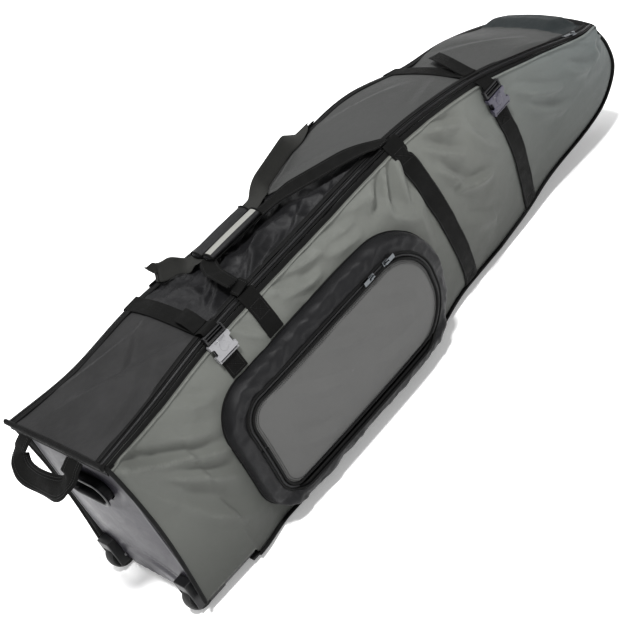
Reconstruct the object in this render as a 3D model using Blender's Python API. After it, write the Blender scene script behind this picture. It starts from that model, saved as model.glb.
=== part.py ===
"""Wheeled golf travel case, lying on its back: a soft hollow body with a zipped lid on top.

Metres. +X runs from the wheeled end to the nose, +Z is up and the pocket side is -Y.
The origin is on the floor under the middle of the case, on the flat part of its bottom.
"""

import math

import bmesh
import bpy
from mathutils import Matrix, Vector

# Driving dimensions of the case
LENGTH = 1.40
HALF_LENGTH = LENGTH / 2
CLOTH = 0.005
GAP = 0.0003
SEAM = 0.0006
FLAT_FROM = 0.34
FLAT_TO = 0.95
SHELL_DEPTH = 0.135
SHELL_WALL = 0.004
SHELL_SIDE_TOP = 0.037
SHELL_HALF_WIDTH = 0.152
SHELL_BOTTOM = 0.016
NOSE_BULGE = 0.010
NOSE_EDGE_GAP = 0.004
LID_END = 1.370

# Webbing, zips and piping
WEBBING = 0.038
WEBBING_THICK = 0.002
TAPE = 0.0065
TAPE_THICK = 0.003
TAPE_SLOT = 0.0006
LID_INSET = 2 * TAPE + TAPE_SLOT + 2 * GAP
PIPING_RADIUS = 0.003

# Wheels
WHEEL_RADIUS = 0.030
WHEEL_WIDTH = 0.024
WHEEL_STATION = 0.016
WHEEL_OFFSET = 0.122
HUB_RADIUS = 0.019
BEARING_RADIUS = 0.011
AXLE_RADIUS = 0.004
HOUSING_WALL = 0.0035
HOUSING_CLEAR = 0.0025

# Stations of the straps and handles along the case, from the wheeled end
LOWER_STRAP = 0.300
UPPER_STRAP = 1.055
HANDLE_LOW = 0.400
HANDLE_HIGH = 0.803
HANDLE_LEAN = 0.045
FAR_HANDLE_LOW = 0.372
TIE_STRAP = 0.620
GRIP_FROM = 0.425
GRIP_TO = 0.570

# How far webbing lies off the cloth under it
SIDE_LIFT = 0.0016
STRAP_LIFT = 0.0035
HANDLE_LIFT = 0.0045

# Carry handles: the middle of each grip across the case, and the grip's own size
NEAR_GRIP_Y = 0.012
FAR_GRIP_Y = 0.048
GRIP_WIDTH = 0.030
GRIP_THICK = 0.012
HANDLE_WIDTH = 0.026
STRIPE_WIDTH = 0.016

# Haul handle at the wheeled end: a loop of webbing
HAUL_CENTRE = 0.012
HAUL_HALF_SPAN = 0.080
HAUL_REACH = 0.048
HAUL_DROOP = 0.040
HAUL_WIDTH = 0.036
HAUL_THICK = 0.003
HAUL_ROOT_HEIGHT = 0.3755

# Grip recess: an oval cup set into the end wall
GRIP_CENTRE_Y = -0.020
GRIP_CENTRE_Z = 0.285
GRIP_HOLE_LONG = 0.120
GRIP_HOLE_TALL = 0.044
GRIP_DEPTH = 0.034
GRIP_RIM = 0.005
GRIP_WALL = 0.0025
GRIP_FACE = -0.003

# Side pocket on the near side: an oval, rounder at its nose end
POCKET_FROM = 0.206
POCKET_TO = 0.758
POCKET_LOW = 0.022
POCKET_HIGH = 0.310
POCKET_STAND = 0.034
POCKET_SEAT = 0.0016
POCKET_CLOTH = 0.0035
POCKET_SHOULDER = 0.006
NOSE_END_RADIUS = 0.130
WHEEL_END_RADIUS = 0.085
CORNER_POINTS = 7
FLAP_INSET = 0.034
FLAP_GAP = 0.0016
FLAP_FOOT_GAP = 0.006

# Side-release buckles: the sleeve on the side, the pronged plug on the strap
BUCKLE_WIDTH = 0.050
BUCKLE_THICK = 0.014
BUCKLE_WALL = 0.002
SLEEVE_LONG = 0.040
PRONG_LONG = 0.026
PLUG_HEAD = 0.016
BUCKLE_CLEAR = 0.0016
LOWER_BUCKLE_HEIGHT = 0.890
UPPER_BUCKLE_HEIGHT = 0.775

# Zip sliders, as stations along their zips
MAIN_SLIDER = 1.290
POCKET_SLIDERS = (0.600, 0.640)
MAIN_PULL_LONG = 0.030
POCKET_PULL_LONG = 0.022
PULL_HEIGHT = 0.0057

# The bound edge along the top of the moulded end, where the lid folds
LIP_HALF_WIDTH = 0.1545
LIP_LOW = 0.3815
LIP_HIGH = 0.3885
LIP_FROM = -0.0015
LIP_TO = 0.0045
LID_AXIS_STATION = 0.0055
LID_AXIS_HEIGHT = 0.3895

# The profile at a few stations: distance from the wheeled end, half width of the base,
# half width at the zip line, height of the zip line, bulge of the side, crown of the lid
PROFILE = (
    (0.000, 0.1480, 0.1540, 0.3850, 0.002, 0.002),
    (0.140, 0.1360, 0.1330, 0.3830, 0.016, 0.012),
    (0.300, 0.1280, 0.1250, 0.3980, 0.026, 0.014),
    (0.580, 0.1180, 0.1060, 0.3940, 0.036, 0.018),
    (0.800, 0.1060, 0.1180, 0.4080, 0.034, 0.014),
    (0.920, 0.0990, 0.1230, 0.4000, 0.030, 0.012),
    (1.050, 0.0920, 0.1090, 0.3660, 0.026, 0.010),
    (1.180, 0.0840, 0.1300, 0.3300, 0.020, 0.012),
    (1.300, 0.0780, 0.1350, 0.2850, 0.010, 0.008),
    (LID_END, 0.0800, 0.1080, 0.2560, 0.002, 0.004),
)
# The bottom's line up and over the nose: station, height, half width
NOSE_LINE = (
    (FLAT_TO, 0.0000, 0.0975),
    (1.060, 0.0100, 0.0920),
    (1.170, 0.0320, 0.0860),
    (1.275, 0.0580, 0.0830),
    (1.350, 0.0880, 0.0860),
    (1.393, 0.1350, 0.0920),
    (1.392, 0.1950, 0.0990),
    (LID_END, 0.2520, 0.1040),
)
STATIONS = tuple(0.006 + 0.1305 * i / 3 for i in range(4)) + tuple(
    0.140 + (LID_END - 0.140) * i / 26 for i in range(27)
)
NEAR, FAR = -1, 1

COLOURS = {
    "grey_cloth": ((0.19, 0.19, 0.175), 0.75, 0.0),
    "black_cloth": ((0.022, 0.022, 0.023), 0.7, 0.0),
    "webbing": ((0.016, 0.016, 0.016), 0.8, 0.0),
    "shell_plastic": ((0.16, 0.155, 0.175), 0.35, 0.0),
    "black_plastic": ((0.015, 0.015, 0.017), 0.4, 0.0),
    "grey_buckle": ((0.34, 0.34, 0.35), 0.35, 0.0),
    "purple_buckle": ((0.075, 0.07, 0.095), 0.35, 0.0),
    "silver_pull": ((0.55, 0.55, 0.55), 0.3, 1.0),
    "steel": ((0.5, 0.5, 0.5), 0.35, 1.0),
    "tyre": ((0.02, 0.02, 0.02), 0.6, 0.0),
    "stripe": ((0.42, 0.42, 0.40), 0.6, 0.0),
    "board": ((0.05, 0.05, 0.05), 0.6, 0.0),
    "foam": ((0.08, 0.08, 0.08), 0.9, 0.0),
}


def clear_scene():
    for thing in list(bpy.data.objects):
        bpy.data.objects.remove(thing)


def material(name):
    found = bpy.data.materials.get(name)
    if found:
        return found
    colour, roughness, metallic = COLOURS[name]
    made = bpy.data.materials.new(name)
    made.use_nodes = True
    shader = made.node_tree.nodes["Principled BSDF"]
    shader.inputs["Base Color"].default_value = (*colour, 1.0)
    shader.inputs["Roughness"].default_value = roughness
    shader.inputs["Metallic"].default_value = metallic
    made.diffuse_color = (*colour, 1.0)
    return made


# ---------------------------------------------------------------- curves of the body


def smooth(table, position, column):
    """A smooth curve through a table's rows, read at a position in its first column."""
    last = len(table) - 1
    i = max(0, min(last - 1, sum(1 for row in table[1:last] if row[0] <= position)))

    def slope(k):
        low, high = max(0, k - 1), min(last, k + 1)
        return (table[high][column] - table[low][column]) / (table[high][0] - table[low][0])

    x0, x1 = table[i][0], table[i + 1][0]
    span = x1 - x0
    t = max(0.0, min(1.0, (position - x0) / span))
    a, b = table[i][column], table[i + 1][column]
    m0, m1 = slope(i) * span, slope(i + 1) * span
    return (
        (2 * t**3 - 3 * t**2 + 1) * a
        + (t**3 - 2 * t**2 + t) * m0
        + (3 * t**2 - 2 * t**3) * b
        + (t**3 - t**2) * m1
    )


def along(position):
    """X of a station, which is a distance from the wheeled end."""
    return position - HALF_LENGTH


def base_half(s):
    return smooth(PROFILE, s, 1)


def zip_half(s):
    return smooth(PROFILE, s, 2)


def zip_height(s):
    return smooth(PROFILE, s, 3)


def side_bulge(s):
    return smooth(PROFILE, s, 4)


def lid_crown(s):
    return smooth(PROFILE, s, 5)


def bottom_height(s):
    """The bottom is flat in the middle and rises a little towards the moulded end."""
    t = max(0.0, (FLAT_FROM - s) / FLAT_FROM)
    return SHELL_BOTTOM * 1.6 * t * t


def nose_line(q):
    """The bottom's line over the nose, q from 0 on the floor to 1 at the lid's end."""
    steps = [(k / (len(NOSE_LINE) - 1), *row) for k, row in enumerate(NOSE_LINE)]
    return tuple(smooth(steps, q, column) for column in (1, 2, 3))


def nose_inward(q):
    """The nose line's inward normal, in the XZ plane."""
    a, b = nose_line(max(0.0, q - 0.01)), nose_line(min(1.0, q + 0.01))
    run, rise = b[0] - a[0], b[1] - a[1]
    size = math.hypot(run, rise)
    return Vector((-rise / size, 0, run / size))


def nose_share(s):
    """How far over the nose line the side's ruling from zip station s ends."""
    return max(0.0, (s - FLAT_TO) / (LID_END - FLAT_TO)) ** 1.35


def lid_point(s, v):
    """A point of the lid's top at station s, with v from -1 on the near edge to 1."""
    ramp = max(0.0, (s - LID_END + 0.095) / 0.095) ** 2
    x = along(s) + NOSE_BULGE * (1 - v * v) * ramp
    return x, zip_height(s) + lid_crown(s) * (1 - v * v)


def side_foot(s):
    """The foot of the side panel's ruling from zip station s, on the near side."""
    if s < SHELL_DEPTH + 0.004:
        return Vector((along(s), -SHELL_HALF_WIDTH, SHELL_SIDE_TOP + SEAM))
    if s <= FLAT_TO:
        lift = bottom_height(s) + CLOTH + SEAM
        return Vector((along(s), -base_half(s), lift))
    station, height, half = nose_line(nose_share(s))
    inward = nose_inward(nose_share(s)) * (CLOTH + SEAM)
    return Vector((along(station), -half, height)) + inward


def side_point(s, v):
    """A point of the near side's outer face: v from 0 at the foot to 1 at the zip."""
    foot = side_foot(s)
    top = Vector((along(s), -zip_half(s), zip_height(s) - TAPE_THICK - SEAM))
    belly = side_bulge(s) * math.sin(math.pi * v) ** 0.8 if 0 < v < 1 else 0.0
    return foot.lerp(top, v) + Vector((0, -belly, 0))


# ---------------------------------------------------------------- mesh builders


def to_object(name, bm, material_name, round_piece=False):
    bmesh.ops.recalc_face_normals(bm, faces=bm.faces)
    mesh = bpy.data.meshes.new(name)
    bm.to_mesh(mesh)
    bm.free()
    mesh.materials.append(material(material_name))
    if round_piece:
        mesh.shade_smooth()
        mesh.set_sharp_from_angle(angle=math.radians(35))
    obj = bpy.data.objects.new(name, mesh)
    bpy.context.scene.collection.objects.link(obj)
    return obj


def move_origin(name, place):
    """Puts a piece's origin on its joint's axis and leaves the piece where it is."""
    obj = bpy.data.objects[name]
    obj.data.transform(Matrix.Translation(obj.location - place))
    obj.location = place


def slab(name, outer, inner, material_name, round_piece=False):
    """A closed solid between two matching grids of points."""
    bm = bmesh.new()
    rows, columns = len(outer), len(outer[0])
    top = [[bm.verts.new(p) for p in row] for row in outer]
    low = [[bm.verts.new(p) for p in row] for row in inner]
    for i in range(rows - 1):
        for j in range(columns - 1):
            bm.faces.new((top[i][j], top[i + 1][j], top[i + 1][j + 1], top[i][j + 1]))
            bm.faces.new((low[i][j], low[i][j + 1], low[i + 1][j + 1], low[i + 1][j]))
    for i in range(rows - 1):
        for j in (0, columns - 1):
            bm.faces.new((top[i][j], low[i][j], low[i + 1][j], top[i + 1][j]))
    for j in range(columns - 1):
        for i in (0, rows - 1):
            bm.faces.new((top[i][j], top[i][j + 1], low[i][j + 1], low[i][j]))
    return to_object(name, bm, material_name, round_piece)


def offset_grid(grid, depth, towards):
    """The grid moved along its own normals, turned to the side that `towards` names."""
    rows, columns = len(grid), len(grid[0])
    moved = []
    for i in range(rows):
        line = []
        for j in range(columns):
            du = Vector(grid[min(rows - 1, i + 1)][j]) - Vector(grid[max(0, i - 1)][j])
            dv = Vector(grid[i][min(columns - 1, j + 1)]) - Vector(grid[i][max(0, j - 1)])
            normal = du.cross(dv).normalized()
            if normal.dot(towards) < 0:
                normal.negate()
            line.append(Vector(grid[i][j]) + normal * depth)
        moved.append(line)
    return moved


def ribbon(name, points, normals, width, thickness, material_name, across=None):
    """Flat webbing along points. Each normal is the upper face's direction there."""
    top, low = [], []
    count = len(points)
    for i, (point, normal) in enumerate(zip(points, normals)):
        point, normal = Vector(point), Vector(normal).normalized()
        run = Vector(points[min(count - 1, i + 1)]) - Vector(points[max(0, i - 1)])
        side = Vector(across[i]) if across else run.cross(normal)
        side = side.normalized() * width / 2
        top.append([point - side + normal * thickness, point + side + normal * thickness])
        low.append([point - side, point + side])
    return slab(name, top, low, material_name)


def tube(name, points, radius, sides, material_name):
    """A round bar along points, with flat ends."""
    bm = bmesh.new()
    rings = []
    count = len(points)
    reference = Vector((0, 1, 0))
    for i, point in enumerate(points):
        run = Vector(points[min(count - 1, i + 1)]) - Vector(points[max(0, i - 1)])
        run.normalize()
        side = (reference - run * reference.dot(run)).normalized()
        other = run.cross(side)
        turn = [2 * math.pi * k / sides for k in range(sides)]
        rings.append(
            [
                bm.verts.new(Vector(point) + radius * (math.cos(a) * side + math.sin(a) * other))
                for a in turn
            ]
        )
    for a, b in zip(rings[:-1], rings[1:]):
        for k in range(sides):
            bm.faces.new((a[k], a[(k + 1) % sides], b[(k + 1) % sides], b[k]))
    bm.faces.new(rings[0])
    bm.faces.new(list(reversed(rings[-1])))
    return to_object(name, bm, material_name, True)


def block(name, low, high, material_name, bevel=0.0):
    """A box from its lowest to its highest corner, with its edges rounded."""
    low, high = Vector(low), Vector(high)
    bm = bmesh.new()
    bmesh.ops.create_cube(bm, size=1.0)
    bmesh.ops.scale(bm, vec=high - low, verts=bm.verts)
    if bevel:
        bmesh.ops.bevel(
            bm, geom=bm.edges[:], offset=bevel, segments=2, profile=0.5, affect="EDGES"
        )
    bmesh.ops.translate(bm, vec=(low + high) / 2, verts=bm.verts)
    return to_object(name, bm, material_name)


def turned(name, profile, centre, segments, material_name):
    """A piece turned about Y: profile is (radius, y) around its closed section."""
    bm = bmesh.new()
    rings = []
    for k in range(segments):
        a = 2 * math.pi * k / segments
        rings.append([bm.verts.new((r * math.cos(a), y, r * math.sin(a))) for r, y in profile])
    for k in range(segments):
        here, there = rings[k], rings[(k + 1) % segments]
        for i in range(len(profile)):
            j = (i + 1) % len(profile)
            bm.faces.new((here[i], there[i], there[j], here[j]))
    obj = to_object(name, bm, material_name, True)
    obj.location = centre
    return obj


def cylinder_mesh(bm, centre, radius, length, segments):
    """A cylinder about Y added to a mesh."""
    turn = Matrix.Translation(centre) @ Matrix.Rotation(math.pi / 2, 4, "X")
    bmesh.ops.create_cone(
        bm, cap_ends=True, segments=segments, radius1=radius, radius2=radius,
        depth=length, matrix=turn,
    )


def boolean(obj, cutter, operation):
    cutter.hide_render = True
    cutter.display_type = "WIRE"
    modifier = obj.modifiers.new(cutter.name, "BOOLEAN")
    modifier.operation = operation
    modifier.object = cutter
    modifier.solver = "EXACT"


# ---------------------------------------------------------------- soft body


def mirrored(grid):
    return [[Vector((p.x, -p.y, p.z)) for p in row] for row in grid]


def build_sides():
    shares = [k / 7 for k in range(8)]
    outer = [[side_point(s, v) for v in shares] for s in STATIONS]
    inner = offset_grid(outer, CLOTH, Vector((0, 1, 0)))
    for station, front, back in zip(STATIONS, outer, inner):
        if station < FLAT_TO:
            back[0].z = max(back[0].z, front[0].z)
        back[-1].z = front[-1].z
    turned_grids = [[row[::-1] for row in grid[::-1]] for grid in (outer, inner)]
    slab("side_panel_near", *turned_grids, "grey_cloth")
    slab("side_panel_far", mirrored(outer), mirrored(inner), "grey_cloth")


def build_bottom():
    first = SHELL_DEPTH + 0.001
    stations = [first] + [s for s in STATIONS if 0.15 < s < FLAT_TO - 0.01] + [FLAT_TO - 0.001]
    low = []
    for s in stations:
        half = base_half(s)
        low.append([Vector((along(s), half * v, bottom_height(s))) for v in (-1, -0.4, 0.4, 1)])
    high = [[p + Vector((0, 0, CLOTH)) for p in row] for row in low]
    slab("bottom_panel", high, low, "black_cloth")

    outer, inner = [], []
    for s in [FLAT_TO] + [s for s in STATIONS if s > FLAT_TO + 0.01]:
        q = nose_share(s)
        station, height, half = nose_line(q)
        inward = nose_inward(q) * CLOTH
        row, under = [], []
        for v in (-1, -0.6, 0, 0.6, 1):
            bulge = NOSE_BULGE * (1 - v * v) * q * q
            point = Vector((along(station) + bulge, (half - NOSE_EDGE_GAP * q) * v, height))
            row.append(point)
            under.append(point + inward)
        outer.append(row)
        inner.append(under)
    slab("nose_panel", outer, inner, "black_cloth")


def lid_grid(stations, edge_inset, shares):
    grid = []
    for s in stations:
        half = zip_half(s) - edge_inset
        row = []
        for v in shares:
            x, z = lid_point(s, v * half / zip_half(s))
            row.append(Vector((x, half * v, z)))
        grid.append(row)
    return grid


def opening_edge(inset):
    """The lid opening's U-shaped line, from the near wheeled corner round the nose."""
    end = LID_END - inset
    stations = [s for s in STATIONS if s < end - 0.012] + [end]
    near = []
    for s in stations:
        half = zip_half(s) - inset
        x, z = lid_point(s, half / zip_half(s))
        near.append(Vector((x, -half, z)))
    half = zip_half(end) - inset
    tip = []
    for v in (-0.75, -0.5, -0.25, 0, 0.25, 0.5, 0.75):
        x, z = lid_point(end, v * half / zip_half(end))
        tip.append(Vector((x, half * v, z)))
    far = [Vector((p.x, -p.y, p.z)) for p in reversed(near)]
    return near + tip + far


def tape_between(name, outside, inside):
    """A flat zip tape between two lines at different insets from the opening's edge."""
    a, b = opening_edge(outside), opening_edge(inside)
    if len(a) != len(b):
        raise ValueError("the tape's two edges need the same number of points")
    top = [[p, q] for p, q in zip(a, b)]
    low = [[p - Vector((0, 0, TAPE_THICK)) for p in row] for row in top]
    slab(name, top, low, "black_cloth")


def build_lid():
    end = LID_END - LID_INSET
    stations = [s for s in STATIONS if s < end - 0.012] + [end]
    outer = lid_grid(stations, LID_INSET, [-1, -0.72, -0.36, 0, 0.36, 0.72, 1])
    inner = [[p - Vector((0, 0, CLOTH)) for p in row] for row in outer]
    slab("lid_panel", outer, inner, "black_cloth")
    tape_between("zip_tape_body", GAP, TAPE)
    tape_between("zip_tape_lid", TAPE + TAPE_SLOT, 2 * TAPE + TAPE_SLOT)
    axis = Vector((along(LID_AXIS_STATION), 0, LID_AXIS_HEIGHT))
    move_origin("lid_panel", axis)
    move_origin("zip_tape_lid", axis)


def build_piping():
    for side, name in ((NEAR, "piping_near"), (FAR, "piping_far")):
        points = []
        for s in [s for s in STATIONS if s > SHELL_DEPTH + 0.004]:
            if s <= FLAT_TO:
                place = Vector((along(s), base_half(s), bottom_height(s) + PIPING_RADIUS + 0.0012))
            else:
                station, height, half = nose_line(nose_share(s))
                inward = nose_inward(nose_share(s)) * (PIPING_RADIUS + 0.0012)
                place = Vector((along(station), half, height)) + inward
            place.y = side * (place.y + PIPING_RADIUS + 0.0012)
            points.append(place)
        tube(name, points, PIPING_RADIUS, 6, "black_cloth")


# ---------------------------------------------------------------- moulded end


def end_wall_x(y, z):
    """X of the convex end wall's outer face."""
    middle, half_height = 0.195, 0.18
    across = 1 - (y / SHELL_HALF_WIDTH) ** 2
    up = 1 - min(1.0, abs(z - middle) / half_height) ** 2.4
    return along(0.018) - 0.014 * max(0.0, across) * max(0.0, up)


def build_shell():
    half = SHELL_HALF_WIDTH - CLOTH - 0.004
    heights = [SHELL_BOTTOM + 0.0013 + 0.3547 * k / 12 for k in range(13)]
    widths = [half * (-1 + k / 6) for k in range(13)]
    outer = [[Vector((end_wall_x(y, z), y, z)) for y in widths] for z in heights]
    inner = [[p + Vector((SHELL_WALL, 0, 0)) for p in row] for row in outer]
    shell = slab("end_shell", outer, inner, "shell_plastic", True)
    bm = bmesh.new()
    oval_prism(bm, GRIP_HOLE_LONG / 2 + SEAM, GRIP_HOLE_TALL / 2 + SEAM, -0.03, 0.06)
    mouth = to_object("grip_hole", bm, "shell_plastic")
    mouth.location = (along(0.0), GRIP_CENTRE_Y, GRIP_CENTRE_Z)
    boolean(shell, mouth, "DIFFERENCE")

    low = Vector((along(0.0185), -SHELL_HALF_WIDTH, SHELL_BOTTOM))
    high = Vector((along(SHELL_DEPTH), SHELL_HALF_WIDTH, SHELL_SIDE_TOP))
    tray = block("shell_tray", low, high, "shell_plastic")
    hollow = block(
        "shell_hollow",
        low + Vector((SHELL_WALL, SHELL_WALL, SHELL_WALL)),
        high + Vector((0.02, -SHELL_WALL, 0.02)),
        "shell_plastic",
    )
    boolean(tray, hollow, "DIFFERENCE")
    boolean(shell, tray, "UNION")
    for side in (NEAR, FAR):
        centre = side * WHEEL_OFFSET
        reach = WHEEL_WIDTH / 2 + HOUSING_CLEAR + HOUSING_WALL + SEAM
        notch = block(
            f"wheel_notch_{'near' if side == NEAR else 'far'}",
            (along(-0.02), centre - reach, 0.0),
            (along(0.056 + SEAM), centre + reach, 0.075 + SEAM),
            "shell_plastic",
        )
        boolean(shell, notch, "DIFFERENCE")


def oval_ring(long_half, tall_half, x, count=20):
    """Points of a rounded slot outline in a plane of constant X."""
    flat = long_half - tall_half
    points = []
    for k in range(count):
        a = 2 * math.pi * (k + 0.5) / count
        shift = flat if math.cos(a) > 0 else -flat
        points.append(Vector((x, shift + tall_half * math.cos(a), tall_half * math.sin(a))))
    return points


def oval_prism(bm, long_half, tall_half, x_from, x_to):
    first = [bm.verts.new(p) for p in oval_ring(long_half, tall_half, x_from)]
    last = [bm.verts.new(p) for p in oval_ring(long_half, tall_half, x_to)]
    count = len(first)
    for k in range(count):
        bm.faces.new((first[k], first[(k + 1) % count], last[(k + 1) % count], last[k]))
    bm.faces.new(list(reversed(first)))
    bm.faces.new(last)


def build_grip_cup():
    """A lipped oval cup: rim outside the wall, hollow open to the outside."""
    half, tall = GRIP_HOLE_LONG / 2, GRIP_HOLE_TALL / 2
    rim_front = GRIP_FACE - 0.002
    floor = GRIP_FACE + GRIP_DEPTH
    sections = (
        (half - GRIP_WALL, tall - GRIP_WALL, rim_front),
        (half + GRIP_RIM, tall + GRIP_RIM, rim_front),
        (half + GRIP_RIM, tall + GRIP_RIM, GRIP_FACE),
        (half, tall, GRIP_FACE),
        (half, tall, floor),
        (half - GRIP_WALL, tall - GRIP_WALL, floor - GRIP_WALL),
    )
    bm = bmesh.new()
    rings = [[bm.verts.new(p) for p in oval_ring(a, b, x)] for a, b, x in sections]
    count = len(rings[0])
    for first, second in ((0, 1), (1, 2), (2, 3), (3, 4), (5, 0)):
        here, there = rings[first], rings[second]
        for k in range(count):
            n = (k + 1) % count
            bm.faces.new((here[k], here[n], there[n], there[k]))
    bm.faces.new(rings[4])
    bm.faces.new(list(reversed(rings[5])))
    cup = to_object("grip_cup", bm, "black_plastic", True)
    cup.location = (along(0.0), GRIP_CENTRE_Y, GRIP_CENTRE_Z)


def build_wheels():
    for side, word in ((NEAR, "near"), (FAR, "far")):
        centre = Vector((along(WHEEL_STATION), side * WHEEL_OFFSET, WHEEL_RADIUS))
        half = WHEEL_WIDTH / 2
        tyre_inner = HUB_RADIUS + GAP
        turned(
            f"tyre_{word}",
            (
                (tyre_inner, -half + 0.002), (WHEEL_RADIUS - 0.006, -half),
                (WHEEL_RADIUS - 0.001, -half + 0.005), (WHEEL_RADIUS, 0.0),
                (WHEEL_RADIUS - 0.001, half - 0.005), (WHEEL_RADIUS - 0.006, half),
                (tyre_inner, half - 0.002),
            ),
            centre, 28, "tyre",
        )
        web = 0.003
        turned(
            f"hub_{word}",
            (
                (BEARING_RADIUS + GAP, -half + 0.0035), (BEARING_RADIUS + 0.0025, -half + 0.0035),
                (BEARING_RADIUS + 0.0025, -web), (HUB_RADIUS - 0.002, -web),
                (HUB_RADIUS - 0.002, -half + 0.0035), (HUB_RADIUS, -half + 0.0035),
                (HUB_RADIUS, half - 0.0035), (HUB_RADIUS - 0.002, half - 0.0035),
                (HUB_RADIUS - 0.002, web), (BEARING_RADIUS + 0.0025, web),
                (BEARING_RADIUS + 0.0025, half - 0.0035), (BEARING_RADIUS + GAP, half - 0.0035),
            ),
            centre, 24, "black_plastic",
        )
        turned(
            f"bearing_{word}",
            (
                (AXLE_RADIUS + GAP, -0.0075), (BEARING_RADIUS, -0.0075),
                (BEARING_RADIUS, 0.0075), (AXLE_RADIUS + GAP, 0.0075),
            ),
            centre, 24, "steel",
        )
        reach = half + HOUSING_CLEAR + HOUSING_WALL
        bm = bmesh.new()
        cylinder_mesh(bm, Vector((0, 0, 0)), AXLE_RADIUS, 2 * reach - 0.0004, 16)
        axle = to_object(f"axle_{word}", bm, "steel", True)
        axle.location = centre
        build_housing(word, centre, reach)


def build_housing(word, centre, reach):
    """A block on the shell that holds one wheel, open to the outside and below."""
    housing = block(
        f"wheel_housing_{word}",
        (along(-0.004), centre.y - reach, 0.014),
        (along(0.056), centre.y + reach, 0.075),
        "black_plastic",
        0.002,
    )
    bm = bmesh.new()
    clear_width = WHEEL_WIDTH + 2 * HOUSING_CLEAR
    cylinder_mesh(bm, Vector((0, 0, 0)), WHEEL_RADIUS + HOUSING_CLEAR, clear_width, 28)
    well = to_object(f"wheel_well_{word}", bm, "black_plastic")
    well.location = centre
    boolean(housing, well, "DIFFERENCE")
    mouth = block(
        f"wheel_mouth_{word}",
        (along(-0.03), centre.y - clear_width / 2, -0.01),
        (along(WHEEL_STATION), centre.y + clear_width / 2, 0.054),
        "black_plastic",
    )
    boolean(housing, mouth, "DIFFERENCE")
    bm = bmesh.new()
    cylinder_mesh(bm, Vector((0, 0, 0)), AXLE_RADIUS + GAP, 0.08, 16)
    bore = to_object(f"axle_bore_{word}", bm, "black_plastic")
    bore.location = centre
    boolean(housing, bore, "DIFFERENCE")


def build_lip():
    block(
        "lip_binding",
        (along(LIP_FROM), -LIP_HALF_WIDTH, LIP_LOW),
        (along(LIP_TO), LIP_HALF_WIDTH, LIP_HIGH),
        "black_cloth",
    )


# ---------------------------------------------------------------- inside


def build_inside():
    stations = [0.16, 0.34, 0.50, 0.70, 0.85, FLAT_TO - 0.006]
    low = []
    for s in stations:
        half = base_half(s) - 0.016
        lift = bottom_height(s) + CLOTH + 0.0008
        low.append([Vector((along(s), half * v, lift)) for v in (-1, 0, 1)])
    high = [[p + Vector((0, 0, 0.003)) for p in row] for row in low]
    slab("base_board", high, low, "board")

    lift = CLOTH + 0.0046
    points = [Vector((along(TIE_STRAP), 0.096 * v, lift)) for v in (-1, 0, 1)]
    ribbon(
        "inner_tie_strap", points, [Vector((0, 0, 1))] * 3, WEBBING, WEBBING_THICK, "webbing",
        [Vector((1, 0, 0))] * 3,
    )

    rows_low, rows_high = [], []
    for q in [nose_share(s) for s in STATIONS if 1.25 < s < 1.33]:
        station, height, half = nose_line(q)
        inward = nose_inward(q)
        row = [Vector((along(station), (half - 0.014) * v, height)) for v in (-1, 0, 1)]
        rows_low.append([p + inward * (CLOTH + 0.0015) for p in row])
        rows_high.append([p + inward * (CLOTH + 0.0155) for p in row])
    slab("nose_foam_pad", rows_high, rows_low, "foam")


# ---------------------------------------------------------------- pocket


def rounded_outline(inset):
    """The pocket's outline as (station, height), rounder at its nose end."""
    low, high = POCKET_LOW + inset, POCKET_HIGH - inset
    first, last = POCKET_FROM + inset, POCKET_TO - inset
    nose, wheel = NOSE_END_RADIUS - inset, WHEEL_END_RADIUS - inset
    corners = (
        (last - nose, low + nose, nose, -90), (last - nose, high - nose, nose, 0),
        (first + wheel, high - wheel, wheel, 90), (first + wheel, low + wheel, wheel, 180),
    )
    points = []
    for cs, cz, radius, start in corners:
        for k in range(CORNER_POINTS):
            a = math.radians(start + 90 * k / (CORNER_POINTS - 1))
            points.append((cs + radius * math.cos(a), cz + radius * math.sin(a)))
    return with_steps(points)


def with_steps(points, along_steps=6, end_steps=2):
    """The outline with the straight runs between its four corners divided."""
    divided = []
    for k, (s, z) in enumerate(points):
        next_s, next_z = points[(k + 1) % len(points)]
        divided.append((s, z))
        corner, place = divmod(k, CORNER_POINTS)
        if place == CORNER_POINTS - 1:
            steps = along_steps if corner in (1, 3) else end_steps
            for step in range(1, steps):
                share = step / steps
                divided.append((s + (next_s - s) * share, z + (next_z - z) * share))
    return divided


def side_surface_y(s, z):
    """Y of the near side's outer face at a station and height."""
    foot, top = side_foot(s), zip_height(s) - TAPE_THICK - SEAM
    v = max(0.0, min(1.0, (z - foot.z) / (top - foot.z)))
    return side_point(s, v).y


def pocket_face_y(s, z):
    """Y of the pocket's outer face, a soft dome over the side panel."""
    ds = 2 * (s - POCKET_FROM) / (POCKET_TO - POCKET_FROM) - 1
    dz = 2 * (z - POCKET_LOW) / (POCKET_HIGH - POCKET_LOW) - 1
    dome = max(0.0, 1 - abs(ds) ** 3) * max(0.0, 1 - abs(dz) ** 3)
    return side_surface_y(s, z) - POCKET_STAND * (0.72 + 0.28 * dome)


def ring_slab(name, outer, inner, material_name):
    """A closed ring: two pairs of matching loops, bridged all round."""
    bm = bmesh.new()
    loops = [[bm.verts.new(p) for p in loop] for loop in (*outer, *reversed(inner))]
    count = len(loops[0])
    for i, here in enumerate(loops):
        there = loops[(i + 1) % len(loops)]
        for k in range(count):
            n = (k + 1) % count
            bm.faces.new((here[k], here[n], there[n], there[k]))
    return to_object(name, bm, material_name)


def on_side(outline):
    """The outline just off the side panel's outer face."""
    return [Vector((along(s), side_surface_y(s, z) - POCKET_SEAT, z)) for s, z in outline]


def on_pocket_face(outline, depth=0.0):
    """The outline on the pocket's outer face, or some depth behind it."""
    return [Vector((along(s), pocket_face_y(s, z) + depth, z)) for s, z in outline]


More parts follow.
